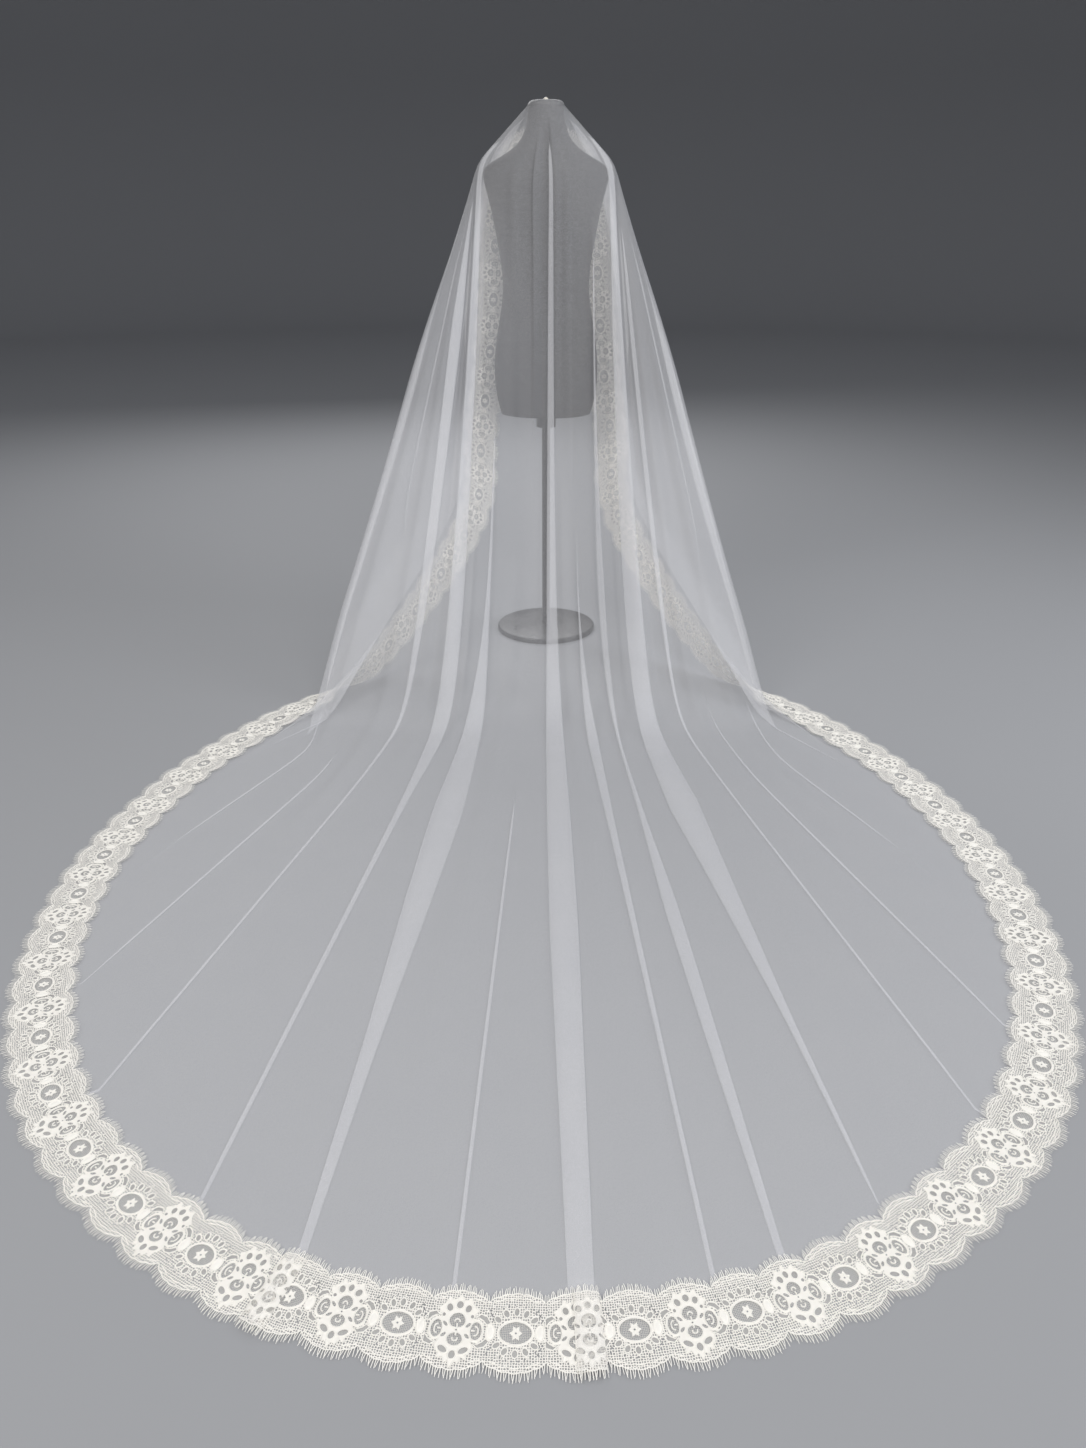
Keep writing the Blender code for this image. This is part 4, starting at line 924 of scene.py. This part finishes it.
def motif_curls():
    """The short thick curls inside the rosette's petals, drawn in millimetres round its middle."""
    curls = []
    for middle, way in ((11.0, 1), (-11.6, -1)):
        turns = np.linspace(-0.4, 3.6, 7)
        curls.append(([(3.4 * math.cos(t), middle + way * 3.2 * math.sin(t)) for t in turns], (1,)))
        curls.append(([(0.0, way * 2.5), (0.3, way * 5.0), (0.0, way * 8.2)], (1,)))
    turns = np.linspace(-1.9, 1.9, 8)
    curls.append(([(25.0 + 3.8 * math.cos(t), 6.2 * math.sin(t)) for t in turns], (1, -1)))
    curls.append(([(19.5, 0.0), (22.0, 0.6), (24.6, 0.0)], (1, -1)))
    return [loop for curl, sides in curls for loop in in_motif(ROSETTE_X, curl, sides)]


def raised_motifs():
    """One repeat's cords round its grounds, its curls and its domes."""
    parts = [cord_flat(loop, CORD, CORD_HEIGHT) for _, loop, corded in lace_loops() if corded]
    parts += [cord_flat(curl, CURL, CURL_HEIGHT, closed=False) for curl in motif_curls()]
    parts += [dome_flat(oval(x, MIDDLE, *LINK_DOME_HALF, 10), LINK_HEIGHT) for x in LINKS]
    for degrees in range(0, 360, 60):
        petal = oval(*ringed(EYE_X, PETAL_RING, degrees), *PETAL_HALF, 6, degrees)
        parts.append(dome_flat(petal, DOME_HEIGHT))
    for degrees in range(45, 405, 90):
        seed = oval(*ringed(ROSETTE_X, (SEED_RING, SEED_RING), degrees), *SEED_HALF, 6, degrees)
        parts.append(dome_flat(seed, DOME_HEIGHT))
    for degrees in range(*STITCH_DEGREES, DOT_STEP):
        for up in (1, -1):
            stitch = oval(*ringed(EYE_X, DOT_RING, degrees, up), DOT_STITCH, DOT_STITCH, 4)
            parts.append(dome_flat(stitch, DOME_HEIGHT))
    return parts


def scallop_cords():
    """A cord along both edges of one repeat, and stretches of a thinner one further in."""
    parts = []
    for valley, peak in ((OUTER_VALLEY, OUTER_PEAK), (INNER_VALLEY, INNER_PEAK)):
        parts.append(cord_flat(edge_line(valley, peak), CORD, CORD_HEIGHT, closed=False))
        line = edge_line(valley, peak, math.copysign(SCALLOP_CORD_IN, MIDDLE - valley))
        for stretch in (line[SCALLOP_STEPS + 2 : -2], line[1:6], line[15:20]):
            cord = cord_flat(stretch, CORD * SCALLOP_CORD, CORD_HEIGHT * SCALLOP_CORD, closed=False)
            parts.append(cord)
    return parts


def fringe():
    """The lashes along both edges of one repeat, in loose bunches."""
    sides = (
        # valley, peak, way in, length, pace at which it changes
        (OUTER_VALLEY, OUTER_PEAK, -1, FRINGE_OUTER, 3.7),
        (INNER_VALLEY, INNER_PEAK, 1, FRINGE_INNER, 4.3),
    )
    parts = []
    count = int(round(CELL / FRINGE_STEP))
    for k in range(count):
        share = (k + 0.5) / count
        lean = sum(most * math.sin(k * pace) for most, pace in FRINGE_LEANS)
        for valley, peak, way, length, pace in sides:
            edge = scallop(valley, peak, (2 * share) % 1)
            own_length = length * (1 + FRINGE_UNEVEN * math.sin(k * pace))
            parts.append(lash_flat(CELL * share, edge, way, own_length, -way * lean))
    return parts


def lace_threads_flat():
    """One repeat's cords, domes and fringe: points (along, inset, height) and faces."""
    parts = raised_motifs() + scallop_cords() + fringe()
    points, faces = [], []
    for part_points, part_faces in parts:
        faces += [tuple(i + len(points) for i in face) for face in part_faces]
        points += part_points
    return np.array(points), faces


# ---------------------------------------------------------------- lace, laid along the border
class BorderCourse:
    """The border's frames, worked out closely once and read between."""

    def __init__(self):
        self.places = np.linspace(-HALF, HALF, COURSE_STEPS + 1)
        self.tables = border_frames(self.places[:-1])
        self.tables = [np.vstack([table, table[:1]]) for table in self.tables]

    def lay(self, flat, first_place):
        """Flat points (along, inset, height) brought onto the border, from a place on."""
        place = -HALF + flat[:, 0]
        if first_place > -HALF + 1e-6:
            place = wrap(first_place + flat[:, 0] - 1e-9)
        edge, inward, facing = (
            np.stack([np.interp(place, self.places, column) for column in table.T], axis=-1)
            for table in self.tables
        )
        inset = flat[:, 1]
        lying = ease(facing[:, 2], *LYING)
        climb = LACE_OVER_TULLE * (1 + (HANGING_CLIMB - 1) * (1 - lying)) * ease(inset, *LACE_CLIMB)
        waves = np.sin(place * RIPPLE_SHORT) * np.sin(place * RIPPLE_LONG + RIPPLE_SHIFT)
        height = flat[:, 2] + climb + RIPPLE * lying * (1 + waves)
        laid = edge + unit(inward) * inset[:, None] + unit(facing) * height[:, None]
        laid[:, 2] = np.maximum(laid[:, 2], FLOOR_CLEAR + THREADS_CLEAR * np.clip(height, 0, None))
        return laid


def clipped(points, faces, zones, low, high):
    """The part of a flat repeat between two places along it."""
    bm = bmesh.new()
    corners = [bm.verts.new(p) for p in points]
    for face, zone in zip(faces, zones):
        bm.faces.new([corners[i] for i in face]).material_index = zone
    for place, way in ((low, -1.0), (high, 1.0)):
        geometry = bm.verts[:] + bm.edges[:] + bm.faces[:]
        bmesh.ops.bisect_plane(
            bm, geom=geometry, plane_co=(place, 0, 0), plane_no=(way, 0, 0), clear_outer=True
        )
    bm.verts.index_update()
    made = (
        np.array([tuple(v.co) for v in bm.verts]),
        [tuple(v.index for v in face.verts) for face in bm.faces],
        [face.material_index for face in bm.faces],
    )
    bm.free()
    return made


def tucked(course, points, low, width, place):
    """A clipped piece of the repeat, raised over the border and rounded down at its sides."""
    flat = points.copy()
    flat[:, 0] -= low + width / 2
    across = np.clip(np.abs(flat[:, 0]) * 2 / width, 0, 1)
    flat[:, 2] += TUCK_CLEAR + TUCK_LIFT * (1 - across**TUCK_SQUARE)
    return course.lay(flat, place)


def make_tuck_tulle(course, number, place, top, bottom, finish):
    """The fold's own tulle, run out over the doubled lace to the hem."""
    lines, rows = 11, 22
    points, faces = [], []
    for i in range(lines):
        across = i / (lines - 1) * 2 - 1
        for j in range(rows):
            share = j / (rows - 1)
            half = (top + (bottom - top) * share) / 2
            inset = TUCK_TULLE_STARTS + (TUCK_TULLE_ENDS - TUCK_TULLE_STARTS) * share
            over = TUCK_TULLE_LOW + TUCK_TULLE_OVER * float(ease(share, 0.0, TUCK_TULLE_CLIMB))
            down = abs(across) ** TUCK_SQUARE * TUCK_TULLE_DROP
            points.append((across * half, inset, over * (1 - down)))
    for i in range(lines - 1):
        for j in range(rows - 1):
            k = i * rows + j
            faces.append((k, k + rows, k + rows + 1, k + 1))
    piece = cloth_piece(f"hem_fold_tulle_{number}", course.lay(np.array(points), place), faces, [finish])
    return dress(piece, "tulle")


class Stretch:
    """Points, faces and zones that are gathered into one piece, repeat by repeat."""

    def __init__(self):
        self.points, self.uvs, self.faces, self.zones = [], [], [], []
        self.count = 0

    def add(self, laid, flat, shift, faces, zones):
        self.points.append(laid)
        self.uvs.append(flat[:, :2] + (shift, 0.0))
        self.faces += [tuple(i + self.count for i in face) for face in faces]
        self.zones += zones
        self.count += len(laid)

    def piece(self, name, finishes):
        return cloth_piece(
            name, np.vstack(self.points), self.faces, finishes, np.vstack(self.uvs), self.zones
        )


def make_lace(course, name, node, first, last, grounds, thread):
    """One stretch of the border: its cloth and its raised threads with the fringe."""
    corners, triangles, zones = lace_cloth_flat()
    threads, thread_faces = lace_threads_flat()
    layers = (
        (Stretch(), np.column_stack([corners, np.zeros(len(corners))]), triangles, zones),
        (Stretch(), threads, thread_faces, [0] * len(thread_faces)),
    )
    for stretch, flat, faces, face_zones in layers:
        for number in range(first, last):
            start = number * CELL
            stretch.add(course.lay(flat, start - HALF), flat, start, faces, face_zones)
        for place, width, low, _, _ in TUCK_ROWS:
            if first * CELL < place + HALF < last * CELL:
                made, made_faces, made_zones = clipped(flat, faces, face_zones, low, low + width)
                laid = tucked(course, made, low, width, place)
                stretch.add(laid, made, TUCK_UV_SHIFT, made_faces, made_zones)
    cloth = layers[0][0].piece(name + "_cloth", grounds)
    weld(cloth)
    raised = layers[1][0].piece(name + "_threads", [thread])
    dress(cloth, "lace", node)
    dress(raised, "lace")
    return cloth, raised


def weld(piece):
    """Joins the points that lie on each other."""
    bm = bmesh.new()
    bm.from_mesh(piece.data)
    bmesh.ops.remove_doubles(bm, verts=bm.verts, dist=WELD)
    bm.to_mesh(piece.data)
    bm.free()


# ---------------------------------------------------------------- the dress form and the pin
def arc(x, z, radius, start, steps):
    """A quarter of a circle in a profile, from a number of degrees on."""
    angles = [math.radians(start + 90.0 * k / steps) for k in range(steps + 1)]
    return [(x + radius * math.cos(angle), z + radius * math.sin(angle)) for angle in angles]


def spun(name, profile, sides, finish, inward=False):
    """The mesh of a profile spun about the form's axis."""
    bm = bmesh.new()
    line = [bm.verts.new((radius, 0.0, z)) for radius, z in profile]
    edges = [bm.edges.new(pair) for pair in zip(line, line[1:])]
    bmesh.ops.spin(
        bm, geom=line + edges, cent=(0, 0, 0), axis=(0, 0, 1), angle=2 * math.pi, steps=sides,
        use_merge=True,
    )
    bmesh.ops.remove_doubles(bm, verts=bm.verts, dist=WELD)
    bmesh.ops.recalc_face_normals(bm, faces=bm.faces)
    if inward:
        bmesh.ops.reverse_faces(bm, faces=bm.faces)
    mesh = bpy.data.meshes.new(name)
    bm.to_mesh(mesh)
    bm.free()
    mesh.materials.append(finish)
    mesh.shade_smooth()
    return mesh


def turned(name, profile, finish, slot, node, sides=64):
    """A round piece of the form, turned from its profile."""
    mesh = spun(name, profile, sides, finish)
    mesh.set_sharp_from_angle(angle=math.radians(35))
    return dress(placed(name, mesh), slot, node)


def rounded(radius, low, high, soft, low_soft=0.0):
    """The profile of a disc with its upper corner rounded, and its lower one if asked."""
    lower = [(radius, low)]
    if low_soft:
        lower = arc(radius - low_soft, low + low_soft, low_soft, -90.0, CORNER_STEPS)
    upper = arc(radius - soft, high - soft, soft, 0.0, CORNER_STEPS)
    return [(0.0, low), *lower, *upper, (0.0, high)]


def make_torso():
    """The torso, smoothed from its node."""
    bm = bmesh.new()
    bm.from_mesh(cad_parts["form_torso"].data)
    bmesh.ops.remove_doubles(bm, verts=bm.verts, dist=WELD)
    bmesh.ops.join_triangles(
        bm, faces=bm.faces, angle_face_threshold=math.radians(40), angle_shape_threshold=math.radians(180)
    )
    mesh = bpy.data.meshes.new("dress_form_torso")
    bm.to_mesh(mesh)
    bm.free()
    torso = placed("dress_form_torso", mesh)
    low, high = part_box("form_torso")
    creases = mesh.attributes.new("crease_edge", "FLOAT", "EDGE")
    for edge in mesh.edges:
        heights = [mesh.vertices[i].co.z for i in edge.vertices]
        if max(heights) < low.z + 1e-4 or min(heights) > high.z - 1e-4:
            creases.data[edge.index].value = 0.9
    smooth = torso.modifiers.new("smooth", "SUBSURF")
    smooth.levels = smooth.render_levels = 2
    mesh.shade_smooth()
    mesh.materials.clear()
    mesh.materials.append(form_cloth_material())
    dress(torso, "form_cloth", "form_torso")


def make_stand():
    """The neck cap and the turned pieces of the stand."""
    low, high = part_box("form_neck_cap")
    cap = rounded(CAP_RADIUS, low.z, high.z, CAP_SOFT, CAP_LOW_SOFT)
    turned("neck_cap", cap, cap_material(), "cap_paint", "form_neck_cap")
    steel = steel_material()
    low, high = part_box("form_collar")
    collar = rounded(high.x, low.z, high.z, COLLAR_SOFT, COLLAR_LOW_SOFT)
    turned("stand_collar", collar, steel, "steel", "form_collar")
    low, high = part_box("form_pole")
    pole = [(0.0, low.z), (high.x, low.z), (high.x, high.z), (0.0, high.z)]
    turned("stand_pole", pole, steel, "steel", "form_pole", 32)
    low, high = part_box("form_base")
    base = rounded(high.x, low.z, high.z, BASE_SOFT)
    turned("stand_base", base, steel, "steel", "form_base", 96)


def make_pin():
    """The pin's bead on its short shank."""
    low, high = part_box("pin")
    under = high.z - BEAD_HEIGHT
    profile = [(0.0, low.z), (PIN_SHANK, low.z), (PIN_SHANK, under)]
    for k in range(BEAD_STEPS):
        angle = math.radians(BEAD_STARTS + BEAD_TURN * k / BEAD_STEPS)
        profile.append((high.x * math.cos(angle), max(under, under + BEAD_HEIGHT * math.sin(angle))))
    turned("veil_pin", profile + [(0.0, high.z)], bead_material(), "cream_bead", "pin", 32)


# ---------------------------------------------------------------- materials
IVORY, CREAM, THIN_NET = (0.90, 0.87, 0.81), (0.95, 0.92, 0.87), (0.82, 0.80, 0.77)
TULLE_COVER, OVER_LACE_COVER = (0.15, 0.27), (0.05, 0.12)  # how much the net's holes and threads cover


class Nodes:
    """A material's node tree with short calls for what the finishes share."""

    def __init__(self, name):
        self.material = bpy.data.materials.new(name)
        self.material.use_nodes = True
        self.tree = self.material.node_tree
        self.shader = self.tree.nodes["Principled BSDF"]

    def node(self, kind, inputs=None, **settings):
        """A node with its settings, its inputs given as values or as sockets to link."""
        node = self.tree.nodes.new(kind)
        for name, value in settings.items():
            setattr(node, name, value)
        for name, value in (inputs or {}).items():
            if isinstance(value, bpy.types.NodeSocket):
                self.tree.links.new(value, node.inputs[name])
            else:
                node.inputs[name].default_value = value
        return node

    def set(self, name, value):
        """One of the shader's own inputs, from a value or a socket."""
        if isinstance(value, bpy.types.NodeSocket):
            self.tree.links.new(value, self.shader.inputs[name])
        else:
            self.shader.inputs[name].default_value = value

    def places(self, kind):
        """Where a pattern lies: on the piece's own UV map or in its Object places, both in metres."""
        return self.node("ShaderNodeTexCoord").outputs[kind]

    def noise(self, where, scale, detail=3.0):
        """Soft clouds from 0 to 1."""
        clouds = self.node("ShaderNodeTexNoise", {"Vector": where, "Scale": scale, "Detail": detail})
        return clouds.outputs["Fac"]

    def ramp(self, value, low, high, to_low, to_high):
        """A value brought from one range to another."""
        return self.node(
            "ShaderNodeMapRange",
            {"Value": value, "From Min": low, "From Max": high, "To Min": to_low, "To Max": to_high},
        ).outputs["Result"]

    def blend(self, share, a, b):
        """A colour between two, by a share."""
        mix = self.node("ShaderNodeMix", data_type="RGBA")
        self.tree.links.new(share, mix.inputs["Factor"])
        mix.inputs["A"].default_value = (*a, 1.0)
        mix.inputs["B"].default_value = (*b, 1.0)
        return mix.outputs["Result"]

    def threads(self, where, scale, low, high, scatter=0.35):
        """Net: 1 on its threads and 0 in its holes, softly; scatter 0 is a square grid."""
        cells = self.node("ShaderNodeTexVoronoi", {"Vector": where, "Scale": scale, "Randomness": scatter})
        cells.feature = "DISTANCE_TO_EDGE"
        return self.ramp(cells.outputs["Distance"], low, high, 1.0, 0.0)

    def bump(self, height, strength, distance):
        """Relief of the surface itself, from a height."""
        bump = self.node("ShaderNodeBump", {"Height": height, "Strength": strength, "Distance": distance})
        self.set("Normal", bump.outputs["Normal"])


def tulle_material(name, holes, threads):
    """Soft sheer net in cool white, of which the holes and the threads cover so much."""
    made = Nodes(name)
    where = made.places("Object")
    net = made.threads(where, 620.0, 0.06, 0.26, 1.0)
    cloud = made.noise(where, 9.0)
    made.set("Base Color", made.blend(cloud, (0.88, 0.885, 0.92), (0.94, 0.94, 0.96)))
    made.set("Alpha", made.ramp(net, 0.0, 1.0, holes, threads))
    made.set("Roughness", 0.72)
    made.set("Sheen Weight", 0.85)
    made.set("Sheen Roughness", 0.35)
    made.bump(cloud, 0.25, 0.004)
    return made.material


def lace_net_material(name, net_scale, edges, holes, threads, dim, bright):
    """One kind of netted ground: its spacing, its threads' soft edges and how much of it covers."""
    made = Nodes(name)
    where = made.places("UV")
    net = made.threads(where, net_scale, *edges)
    made.set("Base Color", made.blend(made.noise(where, 60.0), dim, bright))
    made.set("Alpha", made.ramp(net, 0.0, 1.0, holes, threads))
    made.set("Roughness", 0.78)
    made.set("Sheen Weight", 0.25)
    made.bump(net, 0.5, 0.0006)
    return made.material


def solid_lace_material():
    """Closely worked cloth: fine parallel threads, opaque."""
    made = Nodes("lace_solid")
    where = made.places("UV")
    made.set("Base Color", made.blend(made.noise(where, 90.0), IVORY, CREAM))
    wave = {"Vector": where, "Scale": 500.0, "Distortion": 3.0, "Detail": 2.0}
    rows = made.node("ShaderNodeTexWave", wave)
    made.set("Roughness", 0.75)
    made.set("Sheen Weight", 0.3)
    made.bump(rows.outputs["Fac"], 0.4, 0.0004)
    return made.material


def lace_materials():
    """The four grounds of the lace, in the order of their zones."""
    return [
        lace_net_material("lace_speckle", 300.0, (0.12, 0.26), 0.12, 0.97, IVORY, CREAM),
        lace_net_material("lace_honeycomb", 430.0, (0.06, 0.13), 0.03, 0.85, IVORY, CREAM),
        lace_net_material("lace_soft_net", 800.0, (0.06, 0.24), 0.18, 0.60, THIN_NET, IVORY),
        solid_lace_material(),
    ]


def thread_material():
    """Raised cotton cord and fringe: brighter ivory, twisted."""
    made = Nodes("lace_thread")
    where = made.places("UV")
    made.set("Base Color", made.blend(made.noise(where, 120.0), (0.92, 0.89, 0.83), (0.97, 0.95, 0.90)))
    twist = made.node("ShaderNodeTexWave", {"Vector": where, "Scale": 420.0, "Distortion": 1.0})
    twist.bands_direction = "DIAGONAL"
    made.set("Roughness", 0.62)
    made.set("Sheen Weight", 0.3)
    made.bump(twist.outputs["Fac"], 0.5, 0.0003)
    return made.material


def form_cloth_material():
    """Black stretch jersey over padding: fine ribs and a faint sheen."""
    made = Nodes("form_jersey")
    where = made.places("Object")
    cloud = made.noise(where, 7.0)
    made.set("Base Color", made.blend(cloud, (0.017, 0.016, 0.018), (0.028, 0.027, 0.030)))
    wave = {"Vector": where, "Scale": 260.0, "Distortion": 0.6, "Detail": 1.0}
    ribs = made.node("ShaderNodeTexWave", wave)
    made.set("Roughness", 0.82)
    made.set("Sheen Weight", 0.10)
    made.set("Sheen Roughness", 0.45)
    made.bump(ribs.outputs["Fac"], 0.35, 0.0005)
    return made.material


def cap_material():
    """Black paint on the cap, softly worn and finely grained."""
    made = Nodes("cap_black_paint")
    where = made.places("Object")
    cloud = made.noise(where, 30.0, 5.0)
    made.set("Base Color", made.blend(cloud, (0.024, 0.023, 0.024), (0.040, 0.039, 0.040)))
    made.set("Roughness", made.ramp(cloud, 0.3, 0.7, 0.34, 0.52))
    made.bump(made.noise(where, 420.0, 2.0), 0.12, 0.0004)
    return made.material


def steel_material():
    """Satin black lacquer on the stand, a little worn."""
    made = Nodes("stand_black_steel")
    where = made.places("Object")
    wear = made.noise(where, 14.0, 6.0)
    made.set("Base Color", made.blend(wear, (0.035, 0.035, 0.037), (0.075, 0.074, 0.075)))
    made.set("Roughness", made.ramp(wear, 0.3, 0.7, 0.26, 0.46))
    made.set("Metallic", 0.7)
    made.bump(made.noise(where, 260.0, 2.0), 0.08, 0.0003)
    return made.material


def bead_material():
    """Cream glass of the pin's bead."""
    made = Nodes("pin_cream_bead")
    where = made.places("Object")
    cloud = made.noise(where, 240.0)
    made.set("Base Color", made.blend(cloud, (0.84, 0.78, 0.66), (0.90, 0.85, 0.75)))
    made.set("Roughness", 0.32)
    made.set("Coat Weight", 0.4)
    return made.material


# ---------------------------------------------------------------- stage, light and camera
def make_stage():
    """A pale round floor that sweeps up into a wall all round."""
    paper = Nodes("studio_paper")
    paper.set("Base Color", (0.33, 0.335, 0.35, 1.0))
    paper.set("Roughness", 0.9)
    profile = [(radius, UNDER_VEIL) for radius in (0.0, FLOOR_MIDDLE, FLOOR_RADIUS)]
    profile += arc(FLOOR_RADIUS, SWEEP_RADIUS, SWEEP_RADIUS, -90.0, SWEEP_STEPS)[1:]
    profile.append((FLOOR_RADIUS + SWEEP_RADIUS, WALL_TOP))
    mesh = spun("studio_sweep", profile, SWEEP_SIDES, paper.material, inward=True)
    placed("studio_sweep", mesh)


def make_light():
    """The studio's soft air and its softboxes."""
    world = bpy.data.worlds.new("studio_air")
    world.use_nodes = True
    world.node_tree.nodes["Background"].inputs["Color"].default_value = AIR_COLOUR
    world.node_tree.nodes["Background"].inputs["Strength"].default_value = AIR_STRENGTH
    bpy.context.scene.world = world
    for name, place, aim, size, watts, colour in SOFTBOXES:
        data = bpy.data.lights.new(name, "AREA")
        data.shape = "RECTANGLE"
        data.size, data.size_y = size
        data.energy = watts
        data.color = colour
        light = placed(name, data)
        light.location = place
        light.rotation_euler = (Vector(aim) - Vector(place)).to_track_quat("-Z", "Y").to_euler()
    bpy.context.scene.view_settings.view_transform = "Standard"
    bpy.context.scene.cycles.transparent_max_bounces = 24


def make_camera():
    """The camera behind the train, looking down on it."""
    data = bpy.data.cameras.new("camera")
    data.sensor_fit = "AUTO"
    data.sensor_width = 36.0
    data.lens = FOCAL_PIXELS * data.sensor_width / FRAME_HIGH
    data.shift_x = (MIDDLE_PIXEL - AXIS_PIXEL) / FRAME_HIGH
    data.clip_end = 60.0
    camera = placed("camera", data)
    camera.location = CAMERA_PLACE
    camera.rotation_euler = (math.radians(90.0 - CAMERA_DOWN), 0.0, 0.0)
    bpy.context.scene.camera = camera


# ---------------------------------------------------------------- everything
make_camera()
tulle = make_tulle(tulle_material("tulle", *TULLE_COVER))
course = BorderCourse()
left_end, right_end = LACE_CELLS // 2 - TRAIN_CELLS, LACE_CELLS // 2 + TRAIN_CELLS
grounds, thread = lace_materials(), thread_material()
(train, train_threads), (right, right_threads), (left, left_threads) = (
    make_lace(course, name, node, first, last, grounds, thread)
    for name, node, first, last in (
        ("train_lace", "lace_train", left_end, right_end),
        ("front_right_lace", "lace_front_right", right_end, LACE_CELLS),
        ("front_left_lace", "lace_front_left", 0, left_end),
    )
)
over_lace = tulle_material("tulle_over_lace", *OVER_LACE_COVER)
hem_folds = [
    make_tuck_tulle(course, number, place, top, bottom, over_lace)
    for number, (place, _, _, top, bottom) in enumerate(TUCK_ROWS, 1)
]
make_torso()
make_stand()
make_pin()
make_stage()
make_light()
